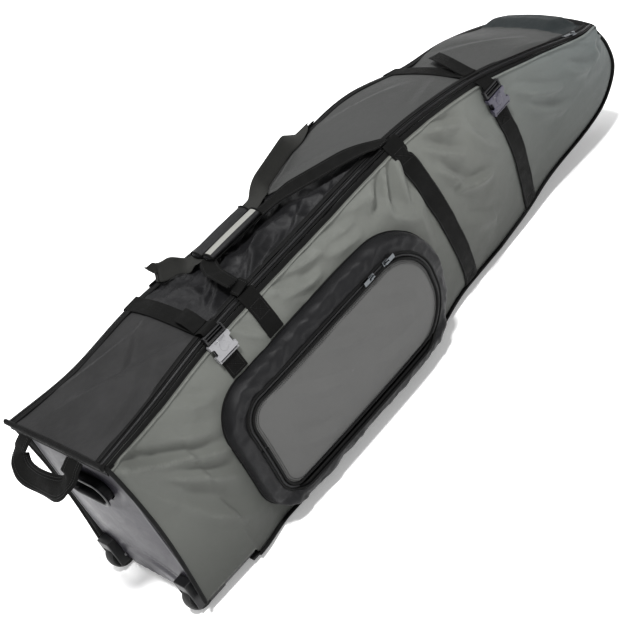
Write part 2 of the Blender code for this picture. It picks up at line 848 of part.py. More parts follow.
def build_pocket():
    edge = rounded_outline(FLAP_INSET)
    ring_slab(
        "pocket_gusset",
        (
            on_side(rounded_outline(0.0)),
            on_pocket_face(rounded_outline(POCKET_SHOULDER)),
            on_pocket_face(edge),
        ),
        (
            on_side(rounded_outline(POCKET_CLOTH)),
            on_pocket_face(rounded_outline(POCKET_SHOULDER + POCKET_CLOTH), POCKET_CLOTH),
            on_pocket_face(edge, POCKET_CLOTH),
        ),
        "black_cloth",
    )
    tape = (rounded_outline(FLAP_INSET + SEAM), rounded_outline(FLAP_INSET + TAPE))
    ring_slab(
        "pocket_zip_tape",
        [on_pocket_face(outline) for outline in tape],
        [on_pocket_face(outline, TAPE_THICK) for outline in tape],
        "black_cloth",
    )
    build_flap()


def flap_outline():
    """The flap's outline, cut straight along its foot, where it folds."""
    inset = FLAP_INSET + TAPE + FLAP_GAP
    foot = POCKET_LOW + inset + FLAP_FOOT_GAP
    return [(s, max(z, foot)) for s, z in rounded_outline(inset)]


def flap_axis():
    """A point of the flap's fold, in the middle of its foot and of its thickness."""
    outline = flap_outline()
    foot = min(z for s, z in outline)
    ends = [s for s, z in outline if z == foot]
    first, last = on_pocket_face([(min(ends), foot), (max(ends), foot)], POCKET_CLOTH / 2)
    return (first + last) / 2


def build_flap():
    """The pocket's grey outer panel: rings of its outline drawn in to a middle point."""
    bm = bmesh.new()
    outline = flap_outline()
    count = len(outline)
    middle_s = sum(s for s, z in outline) / count
    middle_z = sum(z for s, z in outline) / count
    front, back = [], []
    for share in (1.0, 0.75, 0.5, 0.25):
        ring = [
            (middle_s + (s - middle_s) * share, middle_z + (z - middle_z) * share)
            for s, z in outline
        ]
        front.append([bm.verts.new(p) for p in on_pocket_face(ring)])
        back.append([bm.verts.new(p) for p in on_pocket_face(ring, POCKET_CLOTH)])
    for rings in (front, back):
        for a, b in zip(rings[:-1], rings[1:]):
            for k in range(count):
                n = (k + 1) % count
                bm.faces.new((a[k], a[n], b[n], b[k]))
        bm.faces.new(rings[-1])
    for k in range(count):
        n = (k + 1) % count
        bm.faces.new((front[0][k], front[0][n], back[0][n], back[0][k]))
    to_object("pocket_flap", bm, "grey_cloth")
    move_origin("pocket_flap", flap_axis())


# ---------------------------------------------------------------- straps and buckles


def lid_surface_z(s, y):
    share = max(-1.0, min(1.0, y / zip_half(s)))
    return lid_point(s, share)[1]


def strap_over(s, y_from, y_to, lift, steps):
    """Points on the lid across the case at one station, lifted off the cloth."""
    points = []
    for k in range(steps + 1):
        y = y_from + (y_to - y_from) * k / steps
        points.append(Vector((along(s), y, lid_surface_z(s, y) + lift)))
    return points


def side_run(station, v_from, v_to, lift, steps, side=NEAR, lean=0.0):
    """A line down a side at one station, held off the cloth: its points, the outward
    directions there and the directions across it, along the cloth."""
    points, normals, across = [], [], []
    for k in range(steps + 1):
        v = v_from + (v_to - v_from) * k / steps
        s = station + lean * (1 - v)
        rise = side_point(s, min(1, v + 0.04)) - side_point(s, max(0, v - 0.04))
        run = side_point(s + 0.015, v) - side_point(s - 0.015, v)
        normal = rise.cross(run).normalized()
        if normal.y > 0:
            normal.negate()
        place = side_point(s, v) + normal * lift
        for store, vector in ((points, place), (normals, normal), (across, run)):
            store.append(Vector((vector.x, vector.y * -side, vector.z)))
    return points, normals, across


def build_side_straps():
    """Webbing sewn down the sides under the buckles and under the handles' ends."""
    runs = (
        ("lower_strap_near", LOWER_STRAP, 0.845, 0.950, NEAR, 2, 0.0),
        ("lower_strap_far", LOWER_STRAP, 0.06, 0.965, FAR, 10, 0.0),
        ("upper_strap_near", UPPER_STRAP, 0.06, 0.840, NEAR, 8, 0.0),
        ("upper_strap_far", UPPER_STRAP, 0.06, 0.965, FAR, 10, 0.0),
        ("near_handle_strap_low", HANDLE_LOW, 0.850, 0.965, NEAR, 2, 0.0),
        ("near_handle_strap_high", HANDLE_HIGH, 0.04, 0.965, NEAR, 10, HANDLE_LEAN),
        ("far_handle_strap_low", FAR_HANDLE_LOW, 0.04, 0.965, FAR, 10, 0.0),
        ("far_handle_strap_high", HANDLE_HIGH, 0.04, 0.965, FAR, 10, HANDLE_LEAN),
    )
    for name, s, low, high, side, steps, lean in runs:
        points, normals, across = side_run(s, low, high, SIDE_LIFT, steps, side, lean)
        ribbon(name, points, normals, WEBBING, WEBBING_THICK, "webbing", across)


def buckle_frame(s, v):
    """Position and outward lean of a buckle on the near side."""
    points, _, across = side_run(s, v, v + 0.12, SIDE_LIFT, 1)
    up = (points[1] - points[0]).normalized()
    out = across[0].cross(up).normalized()
    return points[0], up, out if out.y < 0 else -out


def oriented_block(name, origin, up, out, sizes, material_name, bevel=0.0):
    """A block with its own axes: X along the case, up the side, and out of it."""
    low, high = sizes
    made = block(name, low, high, material_name, bevel)
    turn = Matrix((up.cross(out), up, out)).transposed().to_4x4()
    made.matrix_world = Matrix.Translation(origin) @ turn
    return made


def build_buckle(word, s, v, material_name):
    """One buckle on the near side. Returns where its strap ends, over the plug."""
    origin, up, out = buckle_frame(s, v)
    half = BUCKLE_WIDTH / 2
    hollow_half = half - 0.005
    prong_half = half - 0.0075
    hollow_foot = SLEEVE_LONG - PRONG_LONG - 0.003
    back = 0.0028
    head = SLEEVE_LONG + BUCKLE_CLEAR
    sleeve = oriented_block(
        f"{word}_buckle_sleeve", origin, up, out,
        ((-half, 0, back), (half, SLEEVE_LONG, BUCKLE_THICK)), material_name, 0.002,
    )
    hollow = oriented_block(
        f"{word}_sleeve_hollow", origin, up, out,
        (
            (-hollow_half, hollow_foot, back + 0.0014),
            (hollow_half, SLEEVE_LONG + 0.02, BUCKLE_THICK - BUCKLE_WALL),
        ),
        material_name,
    )
    boolean(sleeve, hollow, "DIFFERENCE")
    plug = oriented_block(
        f"{word}_buckle_plug", origin, up, out,
        ((-half + 0.002, head, back + 0.0002), (half - 0.002, head + PLUG_HEAD, BUCKLE_THICK - 0.001)),
        material_name, 0.0015,
    )
    prongs = oriented_block(
        f"{word}_plug_prongs", origin, up, out,
        (
            (-prong_half, SLEEVE_LONG - PRONG_LONG, 0.0064),
            (prong_half, head + 0.003, 0.0098),
        ),
        material_name,
    )
    boolean(plug, prongs, "UNION")
    return origin + up * (head + PLUG_HEAD + 0.006) + out * 0.006


def build_lid_straps():
    """The two compression straps that cross the lid, each to its buckle's plug."""
    for word, s, v, colour in (
        ("lower", LOWER_STRAP, LOWER_BUCKLE_HEIGHT, "grey_buckle"),
        ("upper", UPPER_STRAP, UPPER_BUCKLE_HEIGHT, "purple_buckle"),
    ):
        join = build_buckle(word, s, v, colour)
        half = zip_half(s)
        fall = (zip_height(s + 0.02) - zip_height(s - 0.02)) / 0.04
        across, up = Vector((1, 0, fall)), Vector((-fall, 0, 1))
        points = strap_over(s, half - 0.004, -half + 0.024, STRAP_LIFT + 0.001, 8)
        normals = [up] * len(points)
        corner = Vector((along(s), -half - 0.004, zip_height(s) + STRAP_LIFT))
        if join.z < corner.z - 0.008:
            points.append(corner)
            normals.append(Vector((0, -0.7, 0.7)))
        points.append(join)
        normals.append(Vector((0, -1, 1)))
        ribbon(
            f"{word}_strap", points, normals, WEBBING - 0.004, WEBBING_THICK, "webbing",
            [across] * len(points),
        )
        tail_from = -half + 0.030
        tail_to = tail_from + (0.105 if word == "upper" else 0.045)
        lift = STRAP_LIFT + WEBBING_THICK + 0.0022
        tail = strap_over(s, tail_from, tail_to, lift, 4)
        ribbon(
            f"{word}_strap_tail", tail, [up] * len(tail), WEBBING - 0.006, WEBBING_THICK,
            "webbing", [across] * len(tail),
        )


# ---------------------------------------------------------------- carry handles


def handle_line(side, low_s, high_s, grip_y):
    """One handle's line as (station, y): out from one foot, along the grip and back."""
    half_low, half_high = zip_half(low_s), zip_half(high_s)
    foot_low, foot_high = side * (half_low - 0.002), side * (half_high - 0.002)
    return (
        (low_s, foot_low),
        (low_s, foot_low * 0.75 + grip_y * 0.25),
        (low_s + 0.006, foot_low * 0.4 + grip_y * 0.6),
        (GRIP_FROM - 0.002, foot_low * 0.08 + grip_y * 0.92),
        (GRIP_FROM + 0.010, grip_y),
        ((GRIP_FROM + GRIP_TO) / 2, grip_y),
        (GRIP_TO - 0.010, grip_y),
        (GRIP_TO + 0.030, grip_y * 0.9 + foot_high * 0.1),
        (GRIP_TO + 0.100, grip_y * 0.6 + foot_high * 0.4),
        (high_s - 0.050, grip_y * 0.25 + foot_high * 0.75),
        (high_s - 0.012, foot_high),
    )


def level_across(points, start, end):
    """Directions across a line whose webbing lies level, with its two ends' given."""
    runs = [b - a for a, b in zip(points[:-2], points[2:])]
    return [start] + [run.cross(Vector((0, 0, 1))) for run in runs] + [end]


def build_handle(word, side, low_s, grip_y):
    """One carry handle: its webbing and its grip, both turning about its two feet."""
    line = handle_line(side, low_s, HANDLE_HIGH, grip_y)
    points = [Vector((along(s), y, lid_surface_z(s, y) + HANDLE_LIFT)) for s, y in line]
    ribbon(
        f"{word}_handle_webbing", points, [Vector((0, 0, 1))] * len(points), HANDLE_WIDTH,
        WEBBING_THICK, "webbing",
        level_across(points, Vector((-side, 0, 0)), Vector((side, 0, 0))),
    )
    rest = grip_rest(grip_y)
    block(
        f"{word}_handle_grip",
        (along(GRIP_FROM + 0.004), grip_y - GRIP_WIDTH / 2, rest),
        (along(GRIP_TO - 0.004), grip_y + GRIP_WIDTH / 2, rest + GRIP_THICK),
        "webbing",
        0.004,
    )
    axis = (points[0] + points[-1]) / 2 + Vector((0, 0, WEBBING_THICK / 2))
    move_origin(f"{word}_handle_webbing", axis)
    move_origin(f"{word}_handle_grip", axis)
    return rest + GRIP_THICK, axis


def grip_rest(y):
    """The height of a grip's underside: just over the highest point of its webbing."""
    steps = [GRIP_FROM + (GRIP_TO - GRIP_FROM) * k / 6 for k in range(7)]
    highest = max(lid_surface_z(s, y) for s in steps)
    return highest + HANDLE_LIFT + WEBBING_THICK + 0.0008


def build_handles():
    build_handle("far", FAR, FAR_HANDLE_LOW, FAR_GRIP_Y)
    top, axis = build_handle("near", NEAR, HANDLE_LOW, NEAR_GRIP_Y)
    block(
        "grip_wrap_stripe",
        (along(GRIP_FROM + 0.008), NEAR_GRIP_Y - STRIPE_WIDTH / 2, top + 0.0006),
        (along(GRIP_TO - 0.008), NEAR_GRIP_Y + STRIPE_WIDTH / 2, top + 0.0020),
        "stripe",
    )
    move_origin("grip_wrap_stripe", axis)


def build_haul_handle():
    """The webbing loop at the wheeled end: two legs and a drooping bar."""
    span = HAUL_HALF_SPAN
    outline = (
        (0.0, -span), (0.35, -span), (0.72, -span + 0.004), (1.0, -span + 0.034),
        (1.0, span - 0.034), (0.72, span - 0.004), (0.35, span), (0.0, span),
    )
    points = []
    for share, y in outline:
        x = along(LIP_FROM - 0.002) - HAUL_REACH * share
        z = HAUL_ROOT_HEIGHT - HAUL_DROOP * share**1.5
        points.append(Vector((x, HAUL_CENTRE + y, z)))
    ribbon(
        "haul_handle", points, [Vector((0, 0, 1))] * len(points), HAUL_WIDTH, HAUL_THICK,
        "webbing", level_across(points, Vector((0, 1, 0)), Vector((0, -1, 0))),
    )
    axis = (points[0] + points[-1]) / 2 + Vector((0, 0, HAUL_THICK / 2))
    move_origin("haul_handle", axis)


# ---------------------------------------------------------------- zip sliders


def build_slider(word, centre, tangent, normal, pull_long):
    """A slider over the tapes and its pull tab, which hangs from the slider's bridge."""
    tangent = tangent.normalized()
    across = normal.cross(tangent).normalized()
    normal = tangent.cross(across)
    turn = Matrix((tangent, across, normal)).transposed().to_4x4()
    place = Matrix.Translation(centre) @ turn
    metal = "silver_pull"
    body = block(f"{word}_slider", (-0.007, -0.005, 0.0012), (0.007, 0.005, 0.0042), metal, 0.0008)
    bridge = block(
        f"{word}_slider_bridge", (-0.005, -0.0015, 0.003), (0.005, 0.0015, 0.0086), metal
    )
    eye = block(
        f"{word}_slider_eye", (-0.0028, -0.003, 0.0044), (0.0028, 0.003, 0.0070), metal
    )
    for piece in (body, bridge, eye):
        piece.matrix_world = place
    boolean(bridge, eye, "DIFFERENCE")
    boolean(body, bridge, "UNION")
    tab = block(
        f"{word}_pull", (-0.0009, -0.0045, -0.0006), (pull_long, 0.0045, 0.0006), metal
    )
    slot = block(
        f"{word}_pull_slot", (0.0009, -0.0021, -0.002), (0.0078, 0.0021, 0.002), metal
    )
    for piece in (tab, slot):
        piece.matrix_world = place @ Matrix.Translation((0, 0, PULL_HEIGHT))
    boolean(tab, slot, "DIFFERENCE")


def build_sliders():
    """The main slider by the nose, and the pocket's pair at the nose end of its zip."""
    inset = TAPE + TAPE_SLOT / 2

    def on_lid(station):
        half = zip_half(station) - inset
        x, z = lid_point(station, half / zip_half(station))
        return Vector((x, -half, z))

    def on_pocket_zip(station):
        height = POCKET_HIGH - FLAP_INSET - TAPE / 2
        return Vector((along(station), pocket_face_y(station, height), height))

    reach = 0.02
    tangent = on_lid(MAIN_SLIDER - reach) - on_lid(MAIN_SLIDER + reach)
    build_slider("main", on_lid(MAIN_SLIDER), tangent, Vector((0, 0, 1)), MAIN_PULL_LONG)
    for word, station, sign in zip(("pocket", "pocket_rear"), POCKET_SLIDERS, (-1, 1)):
        tangent = (on_pocket_zip(0.62) - on_pocket_zip(0.50)) * sign
        seat = on_pocket_zip(station) + Vector((0, -0.001, 0))
        build_slider(word, seat, tangent, Vector((0, -1, 0)), POCKET_PULL_LONG)


def main():
    clear_scene()
    build_sides()
    build_bottom()
    build_lid()
    build_piping()
    build_shell()
    build_grip_cup()
    build_wheels()
    build_lip()
    build_inside()
    build_pocket()
    build_side_straps()
    build_lid_straps()
    build_handles()
    build_haul_handle()
    build_sliders()


main()
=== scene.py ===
"""Looks of a wheeled golf travel case lying on its back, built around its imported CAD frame.

Metres, in the frame's own axes. s is a station: the distance from the wheeled end along the
case, so X = s - 0.70. The side with the pocket is -Y.
"""

import math

import bmesh
import bpy
import numpy as np
from mathutils import Matrix, Vector, noise


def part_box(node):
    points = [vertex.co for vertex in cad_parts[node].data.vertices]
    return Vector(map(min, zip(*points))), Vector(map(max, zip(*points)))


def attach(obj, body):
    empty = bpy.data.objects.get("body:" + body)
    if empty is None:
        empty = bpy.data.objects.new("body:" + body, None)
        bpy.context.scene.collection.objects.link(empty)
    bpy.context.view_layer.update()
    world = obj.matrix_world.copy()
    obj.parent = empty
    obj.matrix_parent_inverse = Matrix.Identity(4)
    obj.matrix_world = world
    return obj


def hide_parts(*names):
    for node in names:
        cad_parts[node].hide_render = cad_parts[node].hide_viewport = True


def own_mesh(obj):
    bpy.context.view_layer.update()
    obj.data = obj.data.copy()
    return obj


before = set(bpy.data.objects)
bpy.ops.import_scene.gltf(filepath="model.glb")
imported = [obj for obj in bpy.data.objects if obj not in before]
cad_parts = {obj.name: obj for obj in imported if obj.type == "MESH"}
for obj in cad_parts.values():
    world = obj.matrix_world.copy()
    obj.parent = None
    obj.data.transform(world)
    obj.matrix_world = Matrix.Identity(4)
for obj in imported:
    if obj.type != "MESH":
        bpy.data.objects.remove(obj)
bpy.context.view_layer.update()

# ---------------------------------------------------------------- shape of the soft body

HALF_LENGTH = 0.70
# Thickness of the body's cloth in the CAD, and the gap left at a sewn seam
CLOTH, SEAM = 0.005, 0.0006
# Stations between which the bottom lies flat, apart from where it draws up
FLAT_FROM, FLAT_TO = 0.34, 0.95
# The moulded end: its depth, half its width, and the top of its tray's side
SHELL_DEPTH, SHELL_HALF_WIDTH, SHELL_SIDE_TOP = 0.135, 0.152, 0.037
# The side's cloth hangs this far outside the tray, and down to this height
OVER_TRAY, TRAY_COVERED_TO = 0.0040, 0.0300
NOSE_BULGE = 0.010
LID_END = 1.370
# Stations where the opening starts, and where the lid's nose cloth does
OPENING_FROM, NOSE_CLOTH_FROM = 0.006, 1.285
# Stations of the lid's soft middle part's start and of the two straps over it
SOFT_FROM, LOWER_STRAP, UPPER_STRAP = 0.315, 0.300, 1.055
TAPE, TAPE_SLOT, TAPE_THICK = 0.0065, 0.0006, 0.003
LID_INSET = 2 * TAPE + TAPE_SLOT + 0.0006
# Distance across at which the upper panel's edge is drawn, from -this to this
EDGE_ACROSS = 0.11
NEAR, FAR = -1, 1
SIDES = ((NEAR, "near"), (FAR, "far"))
UP, DOWN, AHEAD, BACK, OFF_NEAR = (0, 0, 1.0), (0, 0, -1.0), (1.0, 0, 0), (-1.0, 0, 0), (0, -1.0, 0)
# Where the bottom's cloth starts, how far it flares out there, and how far the filled
# case's lower edge draws in and up at most
CLOTH_FROM = SHELL_DEPTH + 0.004
SHELL_FLARE, DRAWN_IN, DRAWN_UP = 0.016, 0.020, 0.016
# Thicknesses of the visual model's cloths
BODY_THICK, BOTTOM_THICK = 0.0035, 0.004

# Columns after the station: half widths at the foot and at the zip, height of the zip,
# bulge of the side, crown of the lid
FOOT_HALF, ZIP_HALF, ZIP_HEIGHT, BULGE, CROWN = range(1, 6)
PROFILE = (
    (0.000, 0.1480, 0.1540, 0.3850, 0.002, 0.002),
    (0.140, 0.1360, 0.1330, 0.3830, 0.016, 0.012),
    (0.300, 0.1280, 0.1250, 0.3980, 0.026, 0.014),
    (0.580, 0.1180, 0.1060, 0.3940, 0.036, 0.018),
    (0.800, 0.1060, 0.1180, 0.4080, 0.034, 0.014),
    (0.920, 0.0990, 0.1230, 0.4000, 0.030, 0.012),
    (1.050, 0.0920, 0.1090, 0.3660, 0.026, 0.010),
    (1.180, 0.0840, 0.1300, 0.3300, 0.020, 0.012),
    (1.300, 0.0780, 0.1350, 0.2850, 0.010, 0.008),
    (LID_END, 0.0800, 0.1080, 0.2560, 0.002, 0.004),
)
# The bottom's line over the nose: station, height, half width
NOSE_LINE = (
    (FLAT_TO, 0.0000, 0.0975), (1.060, 0.0100, 0.0920), (1.170, 0.0320, 0.0860),
    (1.275, 0.0580, 0.0830), (1.350, 0.0880, 0.0860), (1.393, 0.1350, 0.0920),
    (1.392, 0.1950, 0.0990), (LID_END, 0.2520, 0.1040),
)


def curve(table, column, x):
    """A smooth curve through a table's rows, read at positions in its first column."""
    xs = np.array([row[0] for row in table])
    ys = np.array([row[column] for row in table])
    slopes = np.empty(len(xs))
    slopes[1:-1] = (ys[2:] - ys[:-2]) / (xs[2:] - xs[:-2])
    slopes[0] = (ys[1] - ys[0]) / (xs[1] - xs[0])
    slopes[-1] = (ys[-1] - ys[-2]) / (xs[-1] - xs[-2])
    x = np.asarray(x, float)
    i = np.clip(np.searchsorted(xs, x, side="right") - 1, 0, len(xs) - 2)
    span = xs[i + 1] - xs[i]
    t = np.clip((x - xs[i]) / span, 0, 1)
    return (
        (2 * t**3 - 3 * t**2 + 1) * ys[i]
        + (t**3 - 2 * t**2 + t) * slopes[i] * span
        + (3 * t**2 - 2 * t**3) * ys[i + 1]
        + (t**3 - t**2) * slopes[i + 1] * span
    )


def step(value, low, high):
    """A smooth step from 0 at low to 1 at high."""
    t = np.clip((value - low) / (high - low), 0, 1)
    return t * t * (3 - 2 * t)


def ramp(distance, over):
    """A straight rise from 0 to 1 over a distance."""
    return np.clip(distance / over, 0, 1)


def dip(distance, width):
    """A bell of height 1 at no distance."""
    return np.exp(-((distance / width) ** 2))


def xyz(x, y, z):
    """Points from coordinates of matching shapes."""
    return np.stack(np.broadcast_arrays(x, y, z), -1)


def slack(s):
    """Where the filled case's lower edge has drawn in and up, from 0 to 1."""
    return step(s, 0.62, 0.84) * (1 - step(s, 1.10, 1.34))


def base_half(s):
    flare = SHELL_FLARE * (1 - step(s, CLOTH_FROM, 0.24))
    return curve(PROFILE, FOOT_HALF, s) + flare - DRAWN_IN * slack(s)


def zip_half(s):
    return curve(PROFILE, ZIP_HALF, s)


def zip_height(s):
    return curve(PROFILE, ZIP_HEIGHT, s)


def bottom_height(s):
    t = np.clip((FLAT_FROM - s) / FLAT_FROM, 0, None)
    return 0.0256 * t * t + DRAWN_UP * slack(s)


NOSE_STEPS = tuple((k / (len(NOSE_LINE) - 1), *row) for k, row in enumerate(NOSE_LINE))


def nose_line(q):
    """Station, height and half width of the bottom's line over the nose, q from 0 to 1."""
    station, height, half = (curve(NOSE_STEPS, column, q) for column in (1, 2, 3))
    return station, height + DRAWN_UP * slack(station), half - DRAWN_IN * slack(station)


def nose_inward(q):
    a, b = nose_line(np.clip(q - 0.01, 0, 1)), nose_line(np.clip(q + 0.01, 0, 1))
    run, rise = b[0] - a[0], b[1] - a[1]
    size = np.hypot(run, rise)
    return -rise / size, run / size


def nose_share(s):
    return np.clip((s - FLAT_TO) / (LID_END - FLAT_TO), 0, None) ** 1.35


def lid_base(s, v):
    """The lid's undisturbed outer face: X and Z at station s and share v of its half width."""
    tip = np.clip((s - LID_END + 0.095) / 0.095, 0, None) ** 2
    x = s - HALF_LENGTH + NOSE_BULGE * (1 - v * v) * tip
    return x, zip_height(s) + curve(PROFILE, CROWN, s) * (1 - v * v)


def side_base(s, v):
    """The near side's undisturbed outer face: points at station s, v from foot 0 to zip 1."""
    s, v = np.broadcast_arrays(np.asarray(s, float), np.asarray(v, float))
    share = np.clip(nose_share(s), 0, 1)
    station, height, half = nose_line(share)
    inward_x, inward_z = nose_inward(share)
    lift = CLOTH + SEAM
    nose = s > FLAT_TO
    foot_x = np.where(nose, station + inward_x * lift, s) - HALF_LENGTH
    foot_y = np.where(nose, -half, -base_half(s))
    foot_z = np.where(nose, height + inward_z * lift, bottom_height(s) + lift)
    shell = s < CLOTH_FROM
    foot_y = np.where(shell, -SHELL_HALF_WIDTH - OVER_TRAY, foot_y)
    foot_z = np.where(shell, TRAY_COVERED_TO, foot_z)
    top_z = zip_height(s) - TAPE_THICK - SEAM
    x = foot_x + (s - HALF_LENGTH - foot_x) * v
    z = foot_z + (top_z - foot_z) * v
    cloth_foot = np.where(shell, bottom_height(s) + lift, foot_z)
    up = (z - cloth_foot) / (top_z - cloth_foot)
    belly = curve(PROFILE, BULGE, s) * np.sin(math.pi * np.clip(up, 0, 1)) ** 0.8
    y = foot_y + (-zip_half(s) - foot_y) * up - belly
    return np.stack([x, y, z], -1)


# ---------------------------------------------------------------- folds and wrinkles


def speckle(a, b, scale, seed):
    """Smooth noise over two coordinates, from -1 to 1."""
    a, b = np.broadcast_arrays(a, b)
    flat = [
        noise.noise(Vector((x * scale, y * scale, seed)))
        for x, y in zip(a.ravel().tolist(), b.ravel().tolist())
    ]
    return np.array(flat).reshape(a.shape)


def creases(a, b, scale, seed, stretch=1.0):
    """Sharp-backed noise like crumpled cloth, from 0 to 1."""
    warp = speckle(a, b, scale * 0.6, seed + 7.3) * 0.35 / scale
    n = speckle(a * stretch + warp, b + warp, scale, seed)
    return (1 - np.abs(n) * 1.7).clip(0, 1) ** 2


def folds(a, b, lines):
    """Heights of separate folds. Each line is from, to, width, height: a ridge beside a
    shallow valley, fading towards its ends."""
    total = np.zeros(np.broadcast(a, b).shape)
    for (a0, b0), (a1, b1), width, height in lines:
        run_a, run_b = a1 - a0, b1 - b0
        length = math.hypot(run_a, run_b)
        ta, tb = run_a / length, run_b / length
        t = ((a - a0) * ta + (b - b0) * tb) / length
        off = -(a - a0) * tb + (b - b0) * ta
        off = off + 0.12 * length * np.sin(math.pi * np.clip(t, 0, 1)) * 0.3
        fade = np.sin(math.pi * np.clip(t, 0, 1)) ** 0.7
        valley = np.abs(off - 1.7 * width) / width
        ridge = np.exp(-np.abs(off / width) ** 1.5) - 0.6 * np.exp(-valley ** 1.5)
        total += height * fade * ridge
    return total


# Folds of the near side: station and height up the side of each end, half width, height
NEAR_FOLDS = (
    ((0.004, 0.384), (0.212, 0.215), 0.011, 0.0085),
    ((0.006, 0.376), (0.205, 0.150), 0.015, 0.0060),
    ((0.008, 0.368), (0.150, 0.080), 0.017, 0.0048),
    ((0.110, 0.345), (0.215, 0.262), 0.012, 0.0024),
    ((0.060, 0.200), (0.200, 0.050), 0.022, 0.0035),
    ((0.160, 0.370), (0.235, 0.310), 0.011, 0.0030),
    ((0.330, 0.380), (0.380, 0.318), 0.008, 0.0030),
    ((0.425, 0.372), (0.505, 0.345), 0.007, 0.0045),
    ((0.440, 0.350), (0.545, 0.325), 0.009, 0.0055),
    ((0.470, 0.380), (0.580, 0.352), 0.009, 0.0050),
    ((0.540, 0.372), (0.660, 0.345), 0.010, 0.0050),
    ((0.560, 0.345), (0.655, 0.320), 0.010, 0.0040),
    ((0.610, 0.386), (0.720, 0.352), 0.011, 0.0040),
    ((0.775, 0.392), (0.715, 0.300), 0.009, 0.0065),
    ((0.755, 0.392), (0.680, 0.330), 0.009, 0.0050),
    ((0.795, 0.380), (0.760, 0.260), 0.010, 0.0050),
    ((0.700, 0.330), (0.770, 0.240), 0.016, 0.0045),
    ((0.790, 0.300), (0.770, 0.160), 0.014, 0.0035),
    ((0.850, 0.385), (0.960, 0.330), 0.010, 0.0055),
    ((0.845, 0.350), (0.930, 0.270), 0.010, 0.0055),
    ((0.850, 0.300), (0.905, 0.215), 0.010, 0.0055),
    ((0.870, 0.225), (0.985, 0.190), 0.009, 0.0050),
    ((0.860, 0.150), (0.960, 0.080), 0.016, 0.0035),
    ((0.950, 0.330), (1.020, 0.220), 0.014, 0.0035),
    ((1.095, 0.330), (1.170, 0.230), 0.013, 0.0045),
    ((1.100, 0.270), (1.160, 0.150), 0.014, 0.0035),
    ((1.200, 0.300), (1.235, 0.190), 0.014, 0.0040),
    ((1.290, 0.260), (1.270, 0.170), 0.012, 0.0040),
    ((1.330, 0.235), (1.340, 0.160), 0.010, 0.0030),
    ((0.300, 0.030), (0.620, 0.012), 0.010, 0.0020),
)
FAR_FOLDS = (
    ((0.015, 0.360), (0.170, 0.220), 0.014, 0.0050),
    ((0.060, 0.250), (0.220, 0.080), 0.020, 0.0045),
    ((0.330, 0.370), (0.350, 0.230), 0.012, 0.0045),
    ((0.240, 0.340), (0.270, 0.180), 0.013, 0.0040),
    ((0.420, 0.370), (0.500, 0.240), 0.014, 0.0050),
    ((0.560, 0.380), (0.600, 0.200), 0.015, 0.0045),
    ((0.650, 0.330), (0.740, 0.150), 0.017, 0.0045),
    ((0.860, 0.380), (0.950, 0.250), 0.013, 0.0050),
    ((0.870, 0.230), (0.970, 0.100), 0.016, 0.0040),
    ((1.100, 0.330), (1.180, 0.190), 0.013, 0.0045),
    ((1.230, 0.280), (1.300, 0.170), 0.013, 0.0040),
    ((0.450, 0.120), (0.640, 0.060), 0.018, 0.0040),
)
SIDE_TALL = 0.39


def side_swell(s, v, side):
    """How far a side's cloth stands out of its smooth line."""
    up = np.asarray(v) * SIDE_TALL
    lines = NEAR_FOLDS if side == NEAR else FAR_FOLDS
    swell = 2.1 * folds(s, up, lines)
    swell = swell + 0.0042 * speckle(s, up, 7.0, 3.1 + side) + 0.0014 * speckle(s, up, 24.0, 5.7)
    swell = swell + 0.0030 * creases(s, up, 8.0, 2.6, stretch=1.6) * step(up, 0.10, 0.30)
    return swell * ramp(np.minimum(v, 1 - np.asarray(v)), 0.07) * ramp(s, 0.02)


def side_points(s, v, side, lift=0.0):
    """Points on a side's cloth, and its outward directions there."""
    s, v = np.broadcast_arrays(np.asarray(s, float), np.asarray(v, float))
    d = 0.004
    rise = side_base(s, np.clip(v + 0.03, 0, 1)) - side_base(s, np.clip(v - 0.03, 0, 1))
    run = side_base(s + d, v) - side_base(s - d, v)
    out = np.cross(rise, run)
    out /= np.linalg.norm(out, axis=-1, keepdims=True)
    out *= np.where(out[..., 1:2] > 0, -1.0, 1.0)
    place = side_base(s, v) + out * (side_swell(s, v, side) + lift)[..., None]
    flip = np.array([1.0, -side, 1.0])
    return place * flip, out * flip


# Folds of the lid: station and Y of each end, half width, height
LID_FOLDS = (
    ((0.050, 0.070), (0.280, -0.100), 0.014, 0.0075),
    ((0.020, -0.120), (0.230, -0.060), 0.018, 0.0070),
    ((0.090, 0.110), (0.285, 0.020), 0.013, 0.0060),
    ((0.160, -0.030), (0.290, 0.050), 0.011, 0.0055),
    ((0.640, 0.060), (0.800, -0.060), 0.016, 0.0060),
    ((0.800, 0.080), (0.980, 0.000), 0.015, 0.0060),
    ((0.900, -0.090), (1.020, -0.030), 0.012, 0.0050),
    ((1.100, 0.070), (1.230, -0.070), 0.014, 0.0050),
    ((0.335, -0.090), (0.420, -0.020), 0.008, 0.0060),
    ((0.345, -0.060), (0.450, 0.030), 0.009, 0.0050),
    ((0.400, -0.100), (0.500, -0.040), 0.008, 0.0065),
    ((0.440, -0.095), (0.560, -0.050), 0.008, 0.0060),
    ((0.430, -0.060), (0.540, -0.010), 0.008, 0.0045),
    ((0.520, -0.085), (0.640, -0.040), 0.008, 0.0055),
    ((0.540, 0.000), (0.610, 0.060), 0.009, 0.0045),
    ((0.560, -0.095), (0.690, -0.072), 0.006, 0.0045),
    ((0.350, 0.070), (0.450, 0.090), 0.009, 0.0045),
    ((0.470, 0.080), (0.580, 0.095), 0.008, 0.0045),
)


def upper_edge(y):
    """The station at which the lid's stiffer upper panel starts, at a distance across."""
    return 0.600 + 0.175 * ramp(EDGE_ACROSS - y, 2 * EDGE_ACROSS) ** 1.4


def squeeze(s):
    """How tightly the two straps draw the lid in, from 0 to 1."""
    return dip(s - UPPER_STRAP, 0.030) + 0.5 * dip(s - LOWER_STRAP, 0.024)


